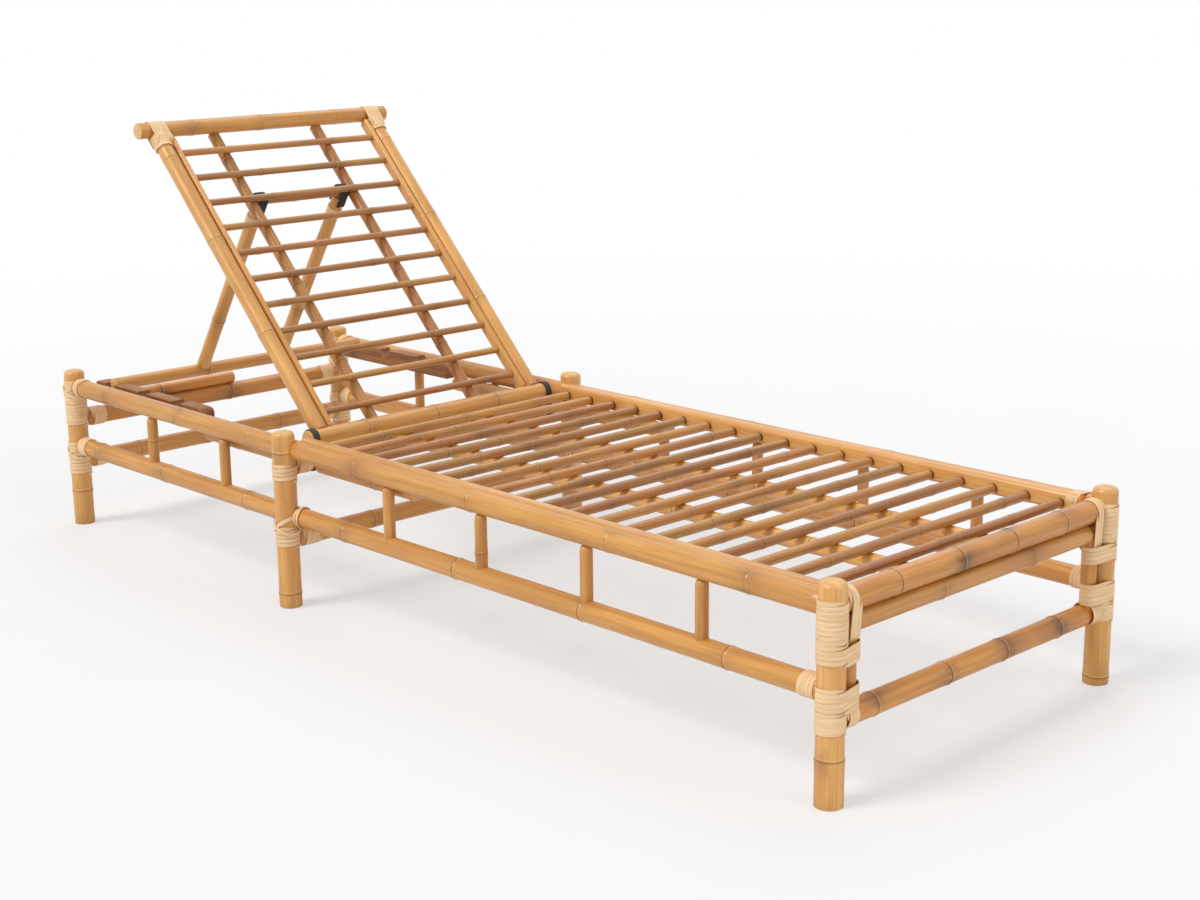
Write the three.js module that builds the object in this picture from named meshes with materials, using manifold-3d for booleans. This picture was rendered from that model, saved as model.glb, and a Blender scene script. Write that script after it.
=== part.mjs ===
// A bamboo folding sun lounger: a low frame on six posts, a slatted seat, and a slatted back that a prop
// holds up in notched racks. Millimetres, +Z up. +X runs from the head to the foot, and -Y is the near side.
// The origin is on the floor, midway between the posts.
import * as THREE from "three";
import { mergeVertices } from "three/addons/utils/BufferGeometryUtils.js";
import Module from "manifold-3d";

const wasm = await Module();
wasm.setup();

// Driving dimensions. What lies at the seat's level takes its height from the seat's, and what lies lower
// takes a share of it.
const FIT_GAP = 0.3;
const RUNNING_GAP = 1;
const OVERRUN = 6;

const SEAT = { slatRadius: 8, height: 286, firstGap: 50.5, lastGap: 55.4, count: 19, segments: 8 };
const ABOVE_SEAT = { postTop: 33, hinge: 5, rackTop: 16, ledgeTop: 13, lashingTop: 6 };
const BELOW_SEAT = {
  sideRail: 2,
  footUpper: 3,
  headUpper: 68,
  splice: 28,
  lashingBottom: 84,
  middleLashingTop: 23,
  middleLashingBottom: 59,
};
const LOW_HEIGHT_SHARES = {
  sideRail: 0.5734,
  headRail: 0.458,
  footRail: 0.4161,
  middleRail: 0.4266,
  bandTop: 0.5944,
  bandBottom: 0.3531,
};
const levelAbove = (name) => SEAT.height + ABOVE_SEAT[name];
const levelBelow = (name) => SEAT.height - BELOW_SEAT[name];
const lowLevel = (name) => SEAT.height * LOW_HEIGHT_SHARES[name];

const FRAME = { length: 1960, width: 653, middleFromHead: 744.6, middleOutset: 15.8 };
const POST = { radius: 20, height: levelAbove("postTop"), dome: 9, footChamfer: 3, segments: 10 };
const FOOT_FLARE = { height: 69, rise: 1.8 };
const RING = { rise: 1.1, width: 4 };
const CULM = { segments: 10, crown: 2.5 };
const SIDE_RAIL = { radius: 17.5, height: levelBelow("sideRail") };
const LOW_RAIL = { radius: 17, height: lowLevel("sideRail") };
const BALUSTER = { radius: 10, segments: 8 };
const BALUSTER_SHARES = [0.1468, 0.2723, 0.5193, 0.6384, 0.7609, 0.8806];
const FOOT_UPPER = { radius: 18.5, height: levelBelow("footUpper"), inset: 5 };
const FOOT_SECOND = { radius: 15 };
const FOOT_LOW = { radius: 17, height: lowLevel("footRail") };
const HEAD_UPPER = { radius: 17.5, height: levelBelow("headUpper") };
const HEAD_LOW = { radius: 17, height: lowLevel("headRail") };
const STOP_POLE = { radius: 9.5, sink: 1 };
const STOP_POLE_END_SHARES = { near: -0.3905, far: 0.0689 };
const MIDDLE_LOW = { radius: 16, height: lowLevel("middleRail") };
const MIDDLE_UPPER = { radius: 16.5 };
const SPLICE = { radius: 14, height: levelBelow("splice"), inset: 27, headReach: 300, footReach: 315 };
const SPACER = { radius: 12 };

const BEARER = { radius: 12, sink: 1, segments: 8 };
const BEARER_SHARE = 0.1478;
const LEDGE = {
  thickness: 12,
  height: 25.5,
  top: levelAbove("ledgeTop"),
  round: 4,
  headGap: 22.3,
  footGap: 3,
};
const SOCKET = 2;

const LASHING = { width: 8.3, thickness: 1.8, pitch: 9.3 };
const POST_LASHING = { top: levelAbove("lashingTop"), bottom: levelBelow("lashingBottom") };
const MIDDLE_LASHING = { top: levelBelow("middleLashingTop"), bottom: levelBelow("middleLashingBottom") };
const LOW_BAND = { top: lowLevel("bandTop"), bottom: lowLevel("bandBottom"), grooves: 4, groove: 0.8 };

const RACK = { thickness: 28, top: levelAbove("rackTop"), height: 33, headGap: 51, length: 385, round: 12 };
const NOTCH = { radius: 14.5, depth: 16, firstFromHead: 106, pitch: 120.4, count: 3, segments: 3 };

const BACK = { fromHead: 736.7, height: levelAbove("hinge"), angleDegrees: 45.9, topReach: 712.1 };
const HINGE_POLE = { radius: 16, endGap: 3.5 };
const STILE = { radius: 15, fromPoleEnd: 53 };
const TOP_RAIL = { radius: 15, overhang: 37.4 };
const BACK_SLAT = { radius: 6.5, firstGap: 49, lastGap: 60.1, count: 11, segments: 8 };
const BACK_STRIP = { thickness: 11, height: 21, top: 11, round: 4 };
const INNER_POLE = { radius: 11, sink: 1 };
const INNER_POLE_SHARE = 0.4762;
const STILE_LASHING = { length: 34 };

const PIVOT_BAR = { radius: 10, behind: 18 };
const PIVOT_BAR_SHARE = 0.7583;
const PROP_BAR = { radius: 12.5, endGap: 8.5 };
const LEG = { radius: 13 };
const TONGUE = { length: 34 };
const LEG_LASHING = { length: 20, from: 14 };
const STRAP = { width: 13, thickness: 1.7, fromPoleEnd: 29 };
const LEG_STRAP = { width: 12, thickness: 1.5, length: 22 };

function bamboo(color, roughness = 0.42) {
  return new THREE.MeshStandardMaterial({ color, roughness, metalness: 0 });
}
const FINISH = {
  post: bamboo(0xd9a561),
  rail: bamboo(0xd79f5b),
  darkPole: bamboo(0xc98a4a),
  slat: bamboo(0xc58c4f, 0.45),
  rattan: bamboo(0xe3bd80, 0.6),
  hardwood: bamboo(0xa9602f, 0.5),
  strap: new THREE.MeshStandardMaterial({ color: 0x17161a, roughness: 0.55, metalness: 0 }),
};

// Solids.
function solidOf(geometry) {
  const bare = new THREE.BufferGeometry().setAttribute("position", geometry.getAttribute("position"));
  if (geometry.index) bare.setIndex(geometry.index);
  const merged = mergeVertices(bare, 1e-4);
  return new wasm.Manifold(
    new wasm.Mesh({
      numProp: 3,
      vertProperties: new Float32Array(merged.attributes.position.array),
      triVerts: new Uint32Array(merged.index.array),
    }),
  );
}

function geometryOf(solid) {
  const mesh = solid.getMesh();
  const geometry = new THREE.BufferGeometry();
  geometry.setAttribute("position", new THREE.BufferAttribute(mesh.vertProperties, 3));
  geometry.setIndex(new THREE.BufferAttribute(mesh.triVerts, 1));
  geometry.computeVertexNormals();
  return geometry;
}

const joined = (solids) => solids.reduce((whole, piece) => whole.add(piece));
const cut = (solid, ...tools) => tools.reduce((left, tool) => left.subtract(tool), solid);

// A profile revolved about the line from one point to another. Each profile point is a radius and a distance
// along the line.
function turned(from, to, profile, segments) {
  const start = new THREE.Vector3(...from);
  const along = new THREE.Vector3(...to).sub(start);
  const points = profile.map(([radius, distance]) => new THREE.Vector2(radius, distance));
  const geometry = new THREE.LatheGeometry(points, segments);
  const turn = new THREE.Quaternion().setFromUnitVectors(new THREE.Vector3(0, 1, 0), along.normalize());
  geometry.applyMatrix4(new THREE.Matrix4().compose(start, turn, new THREE.Vector3(1, 1, 1)));
  return solidOf(geometry);
}

function spanOf(from, to) {
  return new THREE.Vector3(...from).distanceTo(new THREE.Vector3(...to));
}

// A plain round bar, used as the cutter that copes one pole to another.
function rod(from, to, radius, segments = CULM.segments) {
  const length = spanOf(from, to);
  const profile = [
    [0, 0],
    [radius, 0],
    [radius, length],
    [0, length],
  ];
  return turned(from, to, profile, segments);
}

function ringPoints(radius, place) {
  return [
    [radius, place - RING.width / 2],
    [radius + RING.rise, place],
    [radius, place + RING.width / 2],
  ];
}

// A bamboo pole with a raised ring at each node. The nodes are placed by shares of the pole's length.
function culm(from, to, radius, nodeShares = [], segments = CULM.segments) {
  const length = spanOf(from, to);
  const profile = [
    [0, 0],
    [radius - CULM.crown / 2, 0],
    [radius, CULM.crown],
  ];
  for (const share of nodeShares) {
    const place = share * length;
    profile.push(...ringPoints(radius, place));
  }
  profile.push([radius, length - CULM.crown], [radius - CULM.crown / 2, length], [0, length]);
  return turned(from, to, profile, segments);
}

// A flat outline in X and Z, extruded along Y and centred there.
function extrudedAlongY(shape, width, centreY, curveSegments = 6) {
  const geometry = new THREE.ExtrudeGeometry(shape, { depth: width, bevelEnabled: false, curveSegments });
  geometry.rotateX(Math.PI / 2);
  geometry.translate(0, centreY + width / 2, 0);
  return solidOf(geometry);
}

// A strip whose rounded section lies in Y and Z, extruded along X.
function stripAlongX(fromX, toX, centreY, { thickness, top, height, round }) {
  const outline = new THREE.Shape();
  const half = thickness / 2;
  outline.moveTo(-half, -height);
  outline.lineTo(half, -height);
  outline.lineTo(half, -round);
  outline.quadraticCurveTo(half, 0, half - round, 0);
  outline.lineTo(round - half, 0);
  outline.quadraticCurveTo(-half, 0, -half, -round);
  const options = { depth: toX - fromX, bevelEnabled: false, curveSegments: 2 };
  const geometry = new THREE.ExtrudeGeometry(outline, options);
  geometry.rotateX(Math.PI / 2);
  geometry.rotateZ(Math.PI / 2);
  geometry.translate(fromX, centreY, top);
  return solidOf(geometry);
}

// The least gap between one turn and the next, measured between the built points of their facing edges.
function leastGap(positions, steps, segments) {
  const pointAt = (step, corner) => new THREE.Vector3().fromArray(positions, (step * 4 + corner) * 3);
  let least = Infinity;
  for (let step = 0; step + segments <= steps; step += 1) {
    const inside = pointAt(step, 3).distanceTo(pointAt(step + segments, 0));
    const outside = pointAt(step, 2).distanceTo(pointAt(step + segments, 1));
    least = Math.min(least, inside, outside);
  }
  return least;
}

// A flat strand wound as one unbroken helix about the line through a start point, with the winding going
// downwards along it. The section is a rectangle, and both ends are closed.
function winding(start, along, coreRadius, length, segments) {
  const loops = Math.max(2, Math.floor((length - LASHING.width) / LASHING.pitch));
  const steps = loops * segments;
  const inner = coreRadius + FIT_GAP;
  const outer = inner + LASHING.thickness;
  const positions = [];
  const triangles = [];
  const axis = new THREE.Vector3(...along).normalize();
  const turn = new THREE.Quaternion().setFromUnitVectors(new THREE.Vector3(0, 1, 0), axis);
  const corner = (radius, angle, height) => {
    const point = new THREE.Vector3(radius * Math.sin(angle), height, radius * Math.cos(angle));
    return point.applyQuaternion(turn).add(new THREE.Vector3(...start));
  };
  for (let step = 0; step <= steps; step += 1) {
    const angle = (step / segments) * 2 * Math.PI;
    const height = (step / segments) * LASHING.pitch;
    for (const [radius, rise] of [
      [inner, 0],
      [outer, 0],
      [outer, LASHING.width],
      [inner, LASHING.width],
    ])
      positions.push(...corner(radius, angle, height + rise).toArray());
  }
  for (let step = 0; step < steps; step += 1) {
    for (let side = 0; side < 4; side += 1) {
      const a = step * 4 + side;
      const b = step * 4 + ((side + 1) % 4);
      triangles.push(a, a + 4, b, b, a + 4, b + 4);
    }
  }
  const last = steps * 4;
  triangles.push(0, 1, 2, 0, 2, 3);
  triangles.push(last, last + 2, last + 1, last, last + 3, last + 2);
  windings.push({ loops, gap: leastGap(positions, steps, segments) });
  const geometry = new THREE.BufferGeometry();
  geometry.setAttribute("position", new THREE.Float32BufferAttribute(positions, 3));
  geometry.setIndex(triangles);
  return solidOf(geometry);
}
const windings = [];

// The scene graph.
const lounger = new THREE.Group();
const back = new THREE.Group();
const prop = new THREE.Group();
lounger.add(back);
back.add(prop);

function add(group, name, finish, solid) {
  const mesh = new THREE.Mesh(geometryOf(solid), finish);
  mesh.name = name;
  group.add(mesh);
}

// Places.
const fromHead = (distance) => distance - FRAME.length / 2;
const SIDES = [
  { name: "near", sign: -1 },
  { name: "far", sign: 1 },
];
const headX = fromHead(0);
const middleX = fromHead(FRAME.middleFromHead);
const footX = fromHead(FRAME.length);
const sideY = FRAME.width / 2;
const middleY = sideY + FRAME.middleOutset;
const wrappedRadius = POST.radius + FIT_GAP + LASHING.thickness;
const hingeX = fromHead(BACK.fromHead);
const middleUpperHeight = BACK.height - HINGE_POLE.radius - MIDDLE_UPPER.radius - FIT_GAP;
const footSecondHeight = FOOT_UPPER.height - FOOT_UPPER.radius - FOOT_SECOND.radius - FIT_GAP;
const footRailX = footX - FOOT_UPPER.inset;
const spliceY = sideY - SPLICE.inset;

// The rails' sides are flats of their outline, so what lies against them follows the width across the flats.
const flat = (radius) => radius * Math.cos(Math.PI / CULM.segments);
const railFace = sideY - flat(SIDE_RAIL.radius + RING.rise) - FIT_GAP;
const hingeEnd = railFace - HINGE_POLE.endGap;
const stileY = hingeEnd - STILE.fromPoleEnd;
const innerPoleY = stileY * INNER_POLE_SHARE;
const pivotAlong = BACK.topReach * PIVOT_BAR_SHARE;

// Posts, each with its low lashing worked on it as a grooved band.
function postSolid(x, y, nodeShares, flared) {
  const foot = flared ? POST.radius + FOOT_FLARE.rise : POST.radius;
  const profile = [
    [0, 0],
    [foot - POST.footChamfer, 0],
    [foot, POST.footChamfer],
  ];
  if (flared)
    profile.push([foot, FOOT_FLARE.height], [POST.radius, FOOT_FLARE.height + RING.width / 2]);
  const rings = nodeShares.map((share) => share * POST.height).filter((place) => place < LOW_BAND.bottom);
  const upperRings = nodeShares.map((share) => share * POST.height).filter((place) => place > LOW_BAND.top);
  for (const place of rings) profile.push(...ringPoints(POST.radius, place));
  profile.push([POST.radius, LOW_BAND.bottom], [wrappedRadius, LOW_BAND.bottom]);
  const strand = (LOW_BAND.top - LOW_BAND.bottom) / (LOW_BAND.grooves + 1);
  for (let groove = 1; groove <= LOW_BAND.grooves; groove += 1) {
    const place = LOW_BAND.bottom + groove * strand;
    profile.push([wrappedRadius, place - LOW_BAND.groove], [POST.radius + FIT_GAP, place]);
    profile.push([wrappedRadius, place + LOW_BAND.groove]);
  }
  profile.push([wrappedRadius, LOW_BAND.top], [POST.radius, LOW_BAND.top]);
  for (const place of upperRings) profile.push(...ringPoints(POST.radius, place));
  profile.push([POST.radius, POST.height - POST.dome]);
  profile.push([POST.radius * Math.cos(Math.PI / 5), POST.height - POST.dome / 3], [0, POST.height]);
  return turned([x, y, 0], [x, y, POST.height], profile, POST.segments);
}

const POSTS = [
  { name: "post_head_near", x: headX, y: -sideY, nodeShares: [0.22], flared: false },
  { name: "post_head_far", x: headX, y: sideY, nodeShares: [0.18], flared: false },
  { name: "post_middle_near", x: middleX, y: -middleY, nodeShares: [0.08, 0.88], flared: false },
  { name: "post_middle_far", x: middleX, y: middleY, nodeShares: [0.13], flared: false },
  { name: "post_foot_near", x: footX, y: -sideY, nodeShares: [], flared: true },
  { name: "post_foot_far", x: footX, y: sideY, nodeShares: [0.04], flared: false },
];

function railBore(y, rail) {
  return rod([headX, y, rail.height], [footX, y, rail.height], rail.radius + FIT_GAP);
}

for (const post of POSTS) {
  let solid = postSolid(post.x, post.y, post.nodeShares, post.flared);
  const onMiddle = Math.abs(post.y) > sideY;
  const railY = Math.sign(post.y) * sideY;
  if (onMiddle) solid = cut(solid, railBore(railY, SIDE_RAIL), railBore(railY, LOW_RAIL));
  add(lounger, post.name, FINISH.post, solid);
  const band = onMiddle ? MIDDLE_LASHING : POST_LASHING;
  const start = [post.x, post.y, band.bottom];
  const wound = winding(start, [0, 0, 1], POST.radius, band.top - band.bottom, POST.segments);
  add(lounger, post.name.replace("post", "lashing"), FINISH.rattan, wound);
}

// A cutter round a post, as wide as its lashing.
const wrappedPost = (x, y) => rod([x, y, -OVERRUN], [x, y, POST.height + OVERRUN], wrappedRadius + FIT_GAP);

// Side rails, low rails and balusters.
const SIDE_NODE_SHARES = [0.07, 0.2, 0.32, 0.48, 0.63, 0.79, 0.93];
const LOW_NODE_SHARES = [0.045, 0.17, 0.31, 0.46, 0.61, 0.76, 0.91];
for (const side of SIDES) {
  const y = side.sign * sideY;
  const ends = [wrappedPost(headX, y), wrappedPost(footX, y)];
  const span = POST.radius / 2;
  const rail = (size, shares) =>
    cut(culm([headX + span, y, size.height], [footX - span, y, size.height], size.radius, shares), ...ends);
  const sideRail = rail(SIDE_RAIL, SIDE_NODE_SHARES);
  const lowRail = rail(LOW_RAIL, LOW_NODE_SHARES);
  add(lounger, `side_rail_${side.name}`, FINISH.rail, sideRail);
  add(lounger, `low_rail_${side.name}`, FINISH.rail, lowRail);
  BALUSTER_SHARES.forEach((share, index) => {
    const x = fromHead(share * FRAME.length);
    const foot = [x, y, LOW_RAIL.height];
    const upright = rod(foot, [x, y, SIDE_RAIL.height], BALUSTER.radius, BALUSTER.segments);
    const seats = [SIDE_RAIL, LOW_RAIL].map((size) => {
      const from = [x - OVERRUN * BALUSTER.radius, y, size.height];
      const to = [x + OVERRUN * BALUSTER.radius, y, size.height];
      return rod(from, to, size.radius + FIT_GAP);
    });
    const name = `baluster_${side.name}_${index + 1}`;
    add(lounger, name, FINISH.rail, cut(upright, ...seats, sideRail, lowRail));
  });
}

// Cross rails between two posts. A full cope follows the post's round, and a butt end only meets it.
function crossRail(x, reach, size, shares, cutters) {
  const from = [x, -reach, size.height];
  return cut(culm(from, [x, reach, size.height], size.radius, shares), ...cutters);
}
const footPosts = [wrappedPost(footX, -sideY), wrappedPost(footX, sideY)];
const headPosts = [wrappedPost(headX, -sideY), wrappedPost(headX, sideY)];
const middlePosts = [wrappedPost(middleX, -middleY), wrappedPost(middleX, middleY)];
const cope = POST.radius / 2;
const butt = POST.radius + FIT_GAP;
const footUpper = crossRail(footRailX, sideY - butt, FOOT_UPPER, [0.2, 0.42, 0.62, 0.82], footPosts);
add(lounger, "foot_rail_upper", FINISH.darkPole, footUpper);
const footLow = crossRail(footRailX, sideY - cope, FOOT_LOW, [0.13, 0.39, 0.6, 0.82], footPosts);
add(lounger, "foot_rail_low", FINISH.darkPole, footLow);
const headUpper = crossRail(headX, sideY - cope, HEAD_UPPER, [0.28, 0.55, 0.8], headPosts);
const stopHeight = HEAD_UPPER.height + HEAD_UPPER.radius + STOP_POLE.radius - STOP_POLE.sink;
const stopFrom = [headX, STOP_POLE_END_SHARES.near * FRAME.width, stopHeight];
const stopTo = [headX, STOP_POLE_END_SHARES.far * FRAME.width, stopHeight];
const stopPole = culm(stopFrom, stopTo, STOP_POLE.radius, [0.4]);
add(lounger, "head_rail_upper", FINISH.darkPole, headUpper.add(stopPole));
const headLow = crossRail(headX, sideY - butt, HEAD_LOW, [0.2, 0.46, 0.74], headPosts);
add(lounger, "head_rail_low", FINISH.rail, headLow);
const middleLow = crossRail(middleX, middleY - cope, MIDDLE_LOW, [0.25, 0.6], middlePosts);
add(lounger, "middle_rail_low", FINISH.rail, middleLow);

// The second foot rail stands on an upright inside each foot post.
const footSecondSize = { radius: FOOT_SECOND.radius, height: footSecondHeight };
const footSecond = crossRail(footRailX, sideY - cope, footSecondSize, [0.36, 0.7], footPosts);
add(lounger, "foot_rail_second", FINISH.rail, cut(footSecond, footUpper));
const seatAlongFoot = (size) => {
  const from = [footRailX, -sideY, size.height];
  return rod(from, [footRailX, sideY, size.height], size.radius + FIT_GAP);
};
for (const side of SIDES) {
  const y = side.sign * (sideY - wrappedRadius - FIT_GAP - SPACER.radius);
  const head = [footRailX, y, footSecondHeight];
  const upright = rod([footRailX, y, FOOT_LOW.height], head, SPACER.radius, BALUSTER.segments);
  const seats = [seatAlongFoot(FOOT_LOW), seatAlongFoot(footSecondSize), footLow, footSecond];
  add(lounger, `spacer_post_${side.name}`, FINISH.darkPole, cut(upright, ...seats, ...footPosts));
}

// The cross rail under the hinge runs from post to post below the side rails. A splice pole meets it from
// each side, inside each side rail.
const poleAcross = (x, height, radius) => rod([x, -middleY, height], [x, middleY, height], radius);
const middleUpperSize = { radius: MIDDLE_UPPER.radius, height: middleUpperHeight };
const sideBores = [railBore(-sideY, SIDE_RAIL), railBore(sideY, SIDE_RAIL)];
const middleUpper = crossRail(hingeX, middleY, middleUpperSize, [], [...middlePosts, ...sideBores]);
add(lounger, "middle_rail_upper", FINISH.rail, middleUpper);
const middleUpperBore = poleAcross(hingeX, middleUpperHeight, MIDDLE_UPPER.radius + FIT_GAP);
for (const side of SIDES) {
  const inner = [hingeX, side.sign * spliceY, SPLICE.height];
  const headEnd = [middleX - SPLICE.headReach, side.sign * spliceY, SPLICE.height];
  const footEnd = [middleX + SPLICE.footReach, side.sign * spliceY, SPLICE.height];
  const toHead = cut(culm(headEnd, inner, SPLICE.radius, [0.35]), middleUpperBore);
  add(lounger, `splice_head_${side.name}`, FINISH.rail, toHead);
  const toFoot = cut(culm(inner, footEnd, SPLICE.radius, [0.6]), middleUpperBore);
  add(lounger, `splice_foot_${side.name}`, FINISH.rail, toFoot);
}

// Seat: slats let into two ledge strips, and nailed to two bearers below.
function seatPanel() {
  const ledgeY = railFace - LEDGE.thickness / 2;
  const slatReach = railFace - LEDGE.thickness + SOCKET;
  const ledgeFoot = footRailX - FOOT_UPPER.radius - RING.rise - LEDGE.footGap;
  const bearerY = FRAME.width * BEARER_SHARE;
  const firstX = hingeX + SEAT.firstGap;
  const pitch = (footRailX - SEAT.lastGap - firstX) / (SEAT.count - 1);
  const bearerHeight = SEAT.height - SEAT.slatRadius - BEARER.radius + BEARER.sink;
  const pieces = [];
  for (const sign of [-1, 1]) {
    pieces.push(stripAlongX(hingeX + LEDGE.headGap, ledgeFoot, sign * ledgeY, LEDGE));
    const from = [hingeX, sign * bearerY, bearerHeight];
    pieces.push(rod(from, [footRailX, sign * bearerY, bearerHeight], BEARER.radius, BEARER.segments));
  }
  for (let index = 0; index < SEAT.count; index += 1) {
    const x = firstX + index * pitch;
    const end = [x, slatReach, SEAT.height];
    pieces.push(rod([x, -slatReach, SEAT.height], end, SEAT.slatRadius, SEAT.segments));
  }
  return cut(
    joined(pieces),
    middleUpperBore,
    poleAcross(hingeX, BACK.height, HINGE_POLE.radius + RUNNING_GAP),
    poleAcross(footRailX, footSecondHeight, FOOT_SECOND.radius + RING.rise + FIT_GAP),
    poleAcross(footRailX, FOOT_UPPER.height, FOOT_UPPER.radius + RING.rise + FIT_GAP),
  );
}
add(lounger, "seat_slat_panel", FINISH.slat, seatPanel());

// Racks: a hardwood board on each side rail, with round-bottomed notches for the prop's bar.
function rackOutline() {
  const head = fromHead(RACK.headGap);
  const foot = head + RACK.length;
  const low = RACK.top - RACK.height;
  const outline = new THREE.Shape();
  outline.moveTo(head, low);
  outline.lineTo(foot, low);
  outline.lineTo(foot, RACK.top - RACK.round);
  outline.quadraticCurveTo(foot, RACK.top, foot - RACK.round, RACK.top);
  for (let index = NOTCH.count - 1; index >= 0; index -= 1) {
    const x = fromHead(NOTCH.firstFromHead + index * NOTCH.pitch);
    const centre = RACK.top - NOTCH.depth + NOTCH.radius;
    const reach = NOTCH.radius / Math.cos(Math.PI / (4 * NOTCH.segments));
    outline.lineTo(x + reach, RACK.top);
    outline.lineTo(x + reach, centre);
    outline.absarc(x, centre, reach, 0, -Math.PI, true);
    outline.lineTo(x - reach, RACK.top);
  }
  outline.lineTo(head + RACK.round, RACK.top);
  outline.quadraticCurveTo(head, RACK.top, head, RACK.top - RACK.round);
  return outline;
}
for (const side of SIDES) {
  const y = side.sign * (railFace - RACK.thickness / 2);
  const board = extrudedAlongY(rackOutline(), RACK.thickness, y, NOTCH.segments);
  add(lounger, `rack_${side.name}`, FINISH.hardwood, board);
}

// Hinge straps: a band round the back's hinge pole and the rail below it.
function loopOutline(topRadius, bottomRadius, drop) {
  const outline = new THREE.Shape();
  outline.absarc(0, 0, topRadius, 0, Math.PI, false);
  outline.lineTo(-bottomRadius, -drop);
  outline.absarc(0, -drop, bottomRadius, Math.PI, 2 * Math.PI, false);
  return outline;
}
const strapDrop = BACK.height - middleUpperHeight;
const strapInner = loopOutline(HINGE_POLE.radius + FIT_GAP, MIDDLE_UPPER.radius + FIT_GAP, strapDrop);
const strapOuter = loopOutline(
  HINGE_POLE.radius + FIT_GAP + STRAP.thickness,
  MIDDLE_UPPER.radius + FIT_GAP + STRAP.thickness,
  strapDrop,
);
strapOuter.holes.push(strapInner);
for (const side of SIDES) {
  const y = side.sign * (hingeEnd - STRAP.fromPoleEnd);
  const strap = extrudedAlongY(strapOuter, STRAP.width, y, CULM.segments);
  add(lounger, `hinge_strap_${side.name}`, FINISH.strap, strap.translate([hingeX, 0, BACK.height]));
}

// The back, in its own group: the origin is on the hinge axis, -X runs up the back and +Z faces the sitter.
back.position.set(hingeX, 0, BACK.height);
back.rotation.y = THREE.MathUtils.degToRad(BACK.angleDegrees);
const up = (distance) => -distance;
const hingeBore = rod([0, -sideY, 0], [0, sideY, 0], HINGE_POLE.radius + FIT_GAP);
const topBore = rod([up(BACK.topReach), -sideY, 0], [up(BACK.topReach), sideY, 0], TOP_RAIL.radius + FIT_GAP);
add(back, "hinge_pole", FINISH.rail, culm([0, -hingeEnd, 0], [0, hingeEnd, 0], HINGE_POLE.radius, []));
const topFrom = [up(BACK.topReach), -stileY - TOP_RAIL.overhang, 0];
const topTo = [up(BACK.topReach), stileY + TOP_RAIL.overhang, 0];
add(back, "back_top_rail", FINISH.rail, culm(topFrom, topTo, TOP_RAIL.radius, []));
const stileShares = [0.31, 0.62, 0.9];
for (const side of SIDES) {
  const y = side.sign * stileY;
  const stile = culm([0, y, 0], [up(BACK.topReach), y, 0], STILE.radius, stileShares);
  add(back, `stile_${side.name}`, FINISH.post, cut(stile, hingeBore, topBore));
  const lashTop = BACK.topReach - TOP_RAIL.radius - FIT_GAP;
  const start = [up(lashTop - STILE_LASHING.length), y, 0];
  const wound = winding(start, [-1, 0, 0], STILE.radius, STILE_LASHING.length, CULM.segments);
  add(back, `back_lashing_${side.name}`, FINISH.rattan, wound);
}

const poleDepth = BACK_SLAT.radius + INNER_POLE.radius - INNER_POLE.sink;

// The back's slats, in two strips, on two poles that also carry the bar the prop hangs on.
function backPanel() {
  const stripOuter = stileY - STILE.radius - RING.rise - FIT_GAP;
  const stripY = stripOuter - BACK_STRIP.thickness / 2;
  const slatReach = stripOuter - BACK_STRIP.thickness + SOCKET;
  const stripEnd = BACK.topReach - TOP_RAIL.radius - LEDGE.footGap;
  const pitch = (BACK.topReach - BACK_SLAT.lastGap - BACK_SLAT.firstGap) / (BACK_SLAT.count - 1);
  const pieces = [];
  for (const sign of [-1, 1]) {
    pieces.push(stripAlongX(up(stripEnd), 0, sign * stripY, BACK_STRIP));
    const y = sign * innerPoleY;
    pieces.push(rod([0, y, -poleDepth], [up(BACK.topReach), y, -poleDepth], INNER_POLE.radius));
  }
  const bar = [up(pivotAlong), -innerPoleY, -PIVOT_BAR.behind];
  pieces.push(rod(bar, [up(pivotAlong), innerPoleY, -PIVOT_BAR.behind], PIVOT_BAR.radius));
  for (let index = 0; index < BACK_SLAT.count; index += 1) {
    const x = up(BACK_SLAT.firstGap + index * pitch);
    pieces.push(rod([x, -slatReach, 0], [x, slatReach, 0], BACK_SLAT.radius, BACK_SLAT.segments));
  }
  return cut(joined(pieces), hingeBore, topBore);
}
add(back, "back_slat_panel", FINISH.slat, backPanel());

// The prop, in its own group: the origin is on the pivot bar's axis and -Z runs down the legs to the bar
// that lies in the racks' first notches.
prop.position.set(up(pivotAlong), 0, -PIVOT_BAR.behind);
back.updateMatrixWorld(true);
const barPlace = new THREE.Vector3(
  fromHead(NOTCH.firstFromHead),
  0,
  RACK.top - NOTCH.depth + PROP_BAR.radius + FIT_GAP,
);
const toBar = back.worldToLocal(barPlace.clone()).sub(prop.position);
const legLength = toBar.length();
prop.rotation.y = Math.atan2(-toBar.x, -toBar.z);

const propEnd = railFace - PROP_BAR.endGap;
const legY = innerPoleY - INNER_POLE.radius - LEG.radius;
const propBarShares = [0.36, 0.7];
const propBar = culm([0, -propEnd, -legLength], [0, propEnd, -legLength], PROP_BAR.radius, propBarShares);
add(prop, "prop_bar", FINISH.rail, propBar);
const pivotBoreRadius = PIVOT_BAR.radius + FIT_GAP + LEG_STRAP.thickness + FIT_GAP;
const pivotBore = rod([0, -sideY, 0], [0, sideY, 0], pivotBoreRadius);
const barBore = rod(
  [0, -propEnd, -legLength],
  [0, propEnd, -legLength],
  PROP_BAR.radius + RING.rise + FIT_GAP,
);

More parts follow.
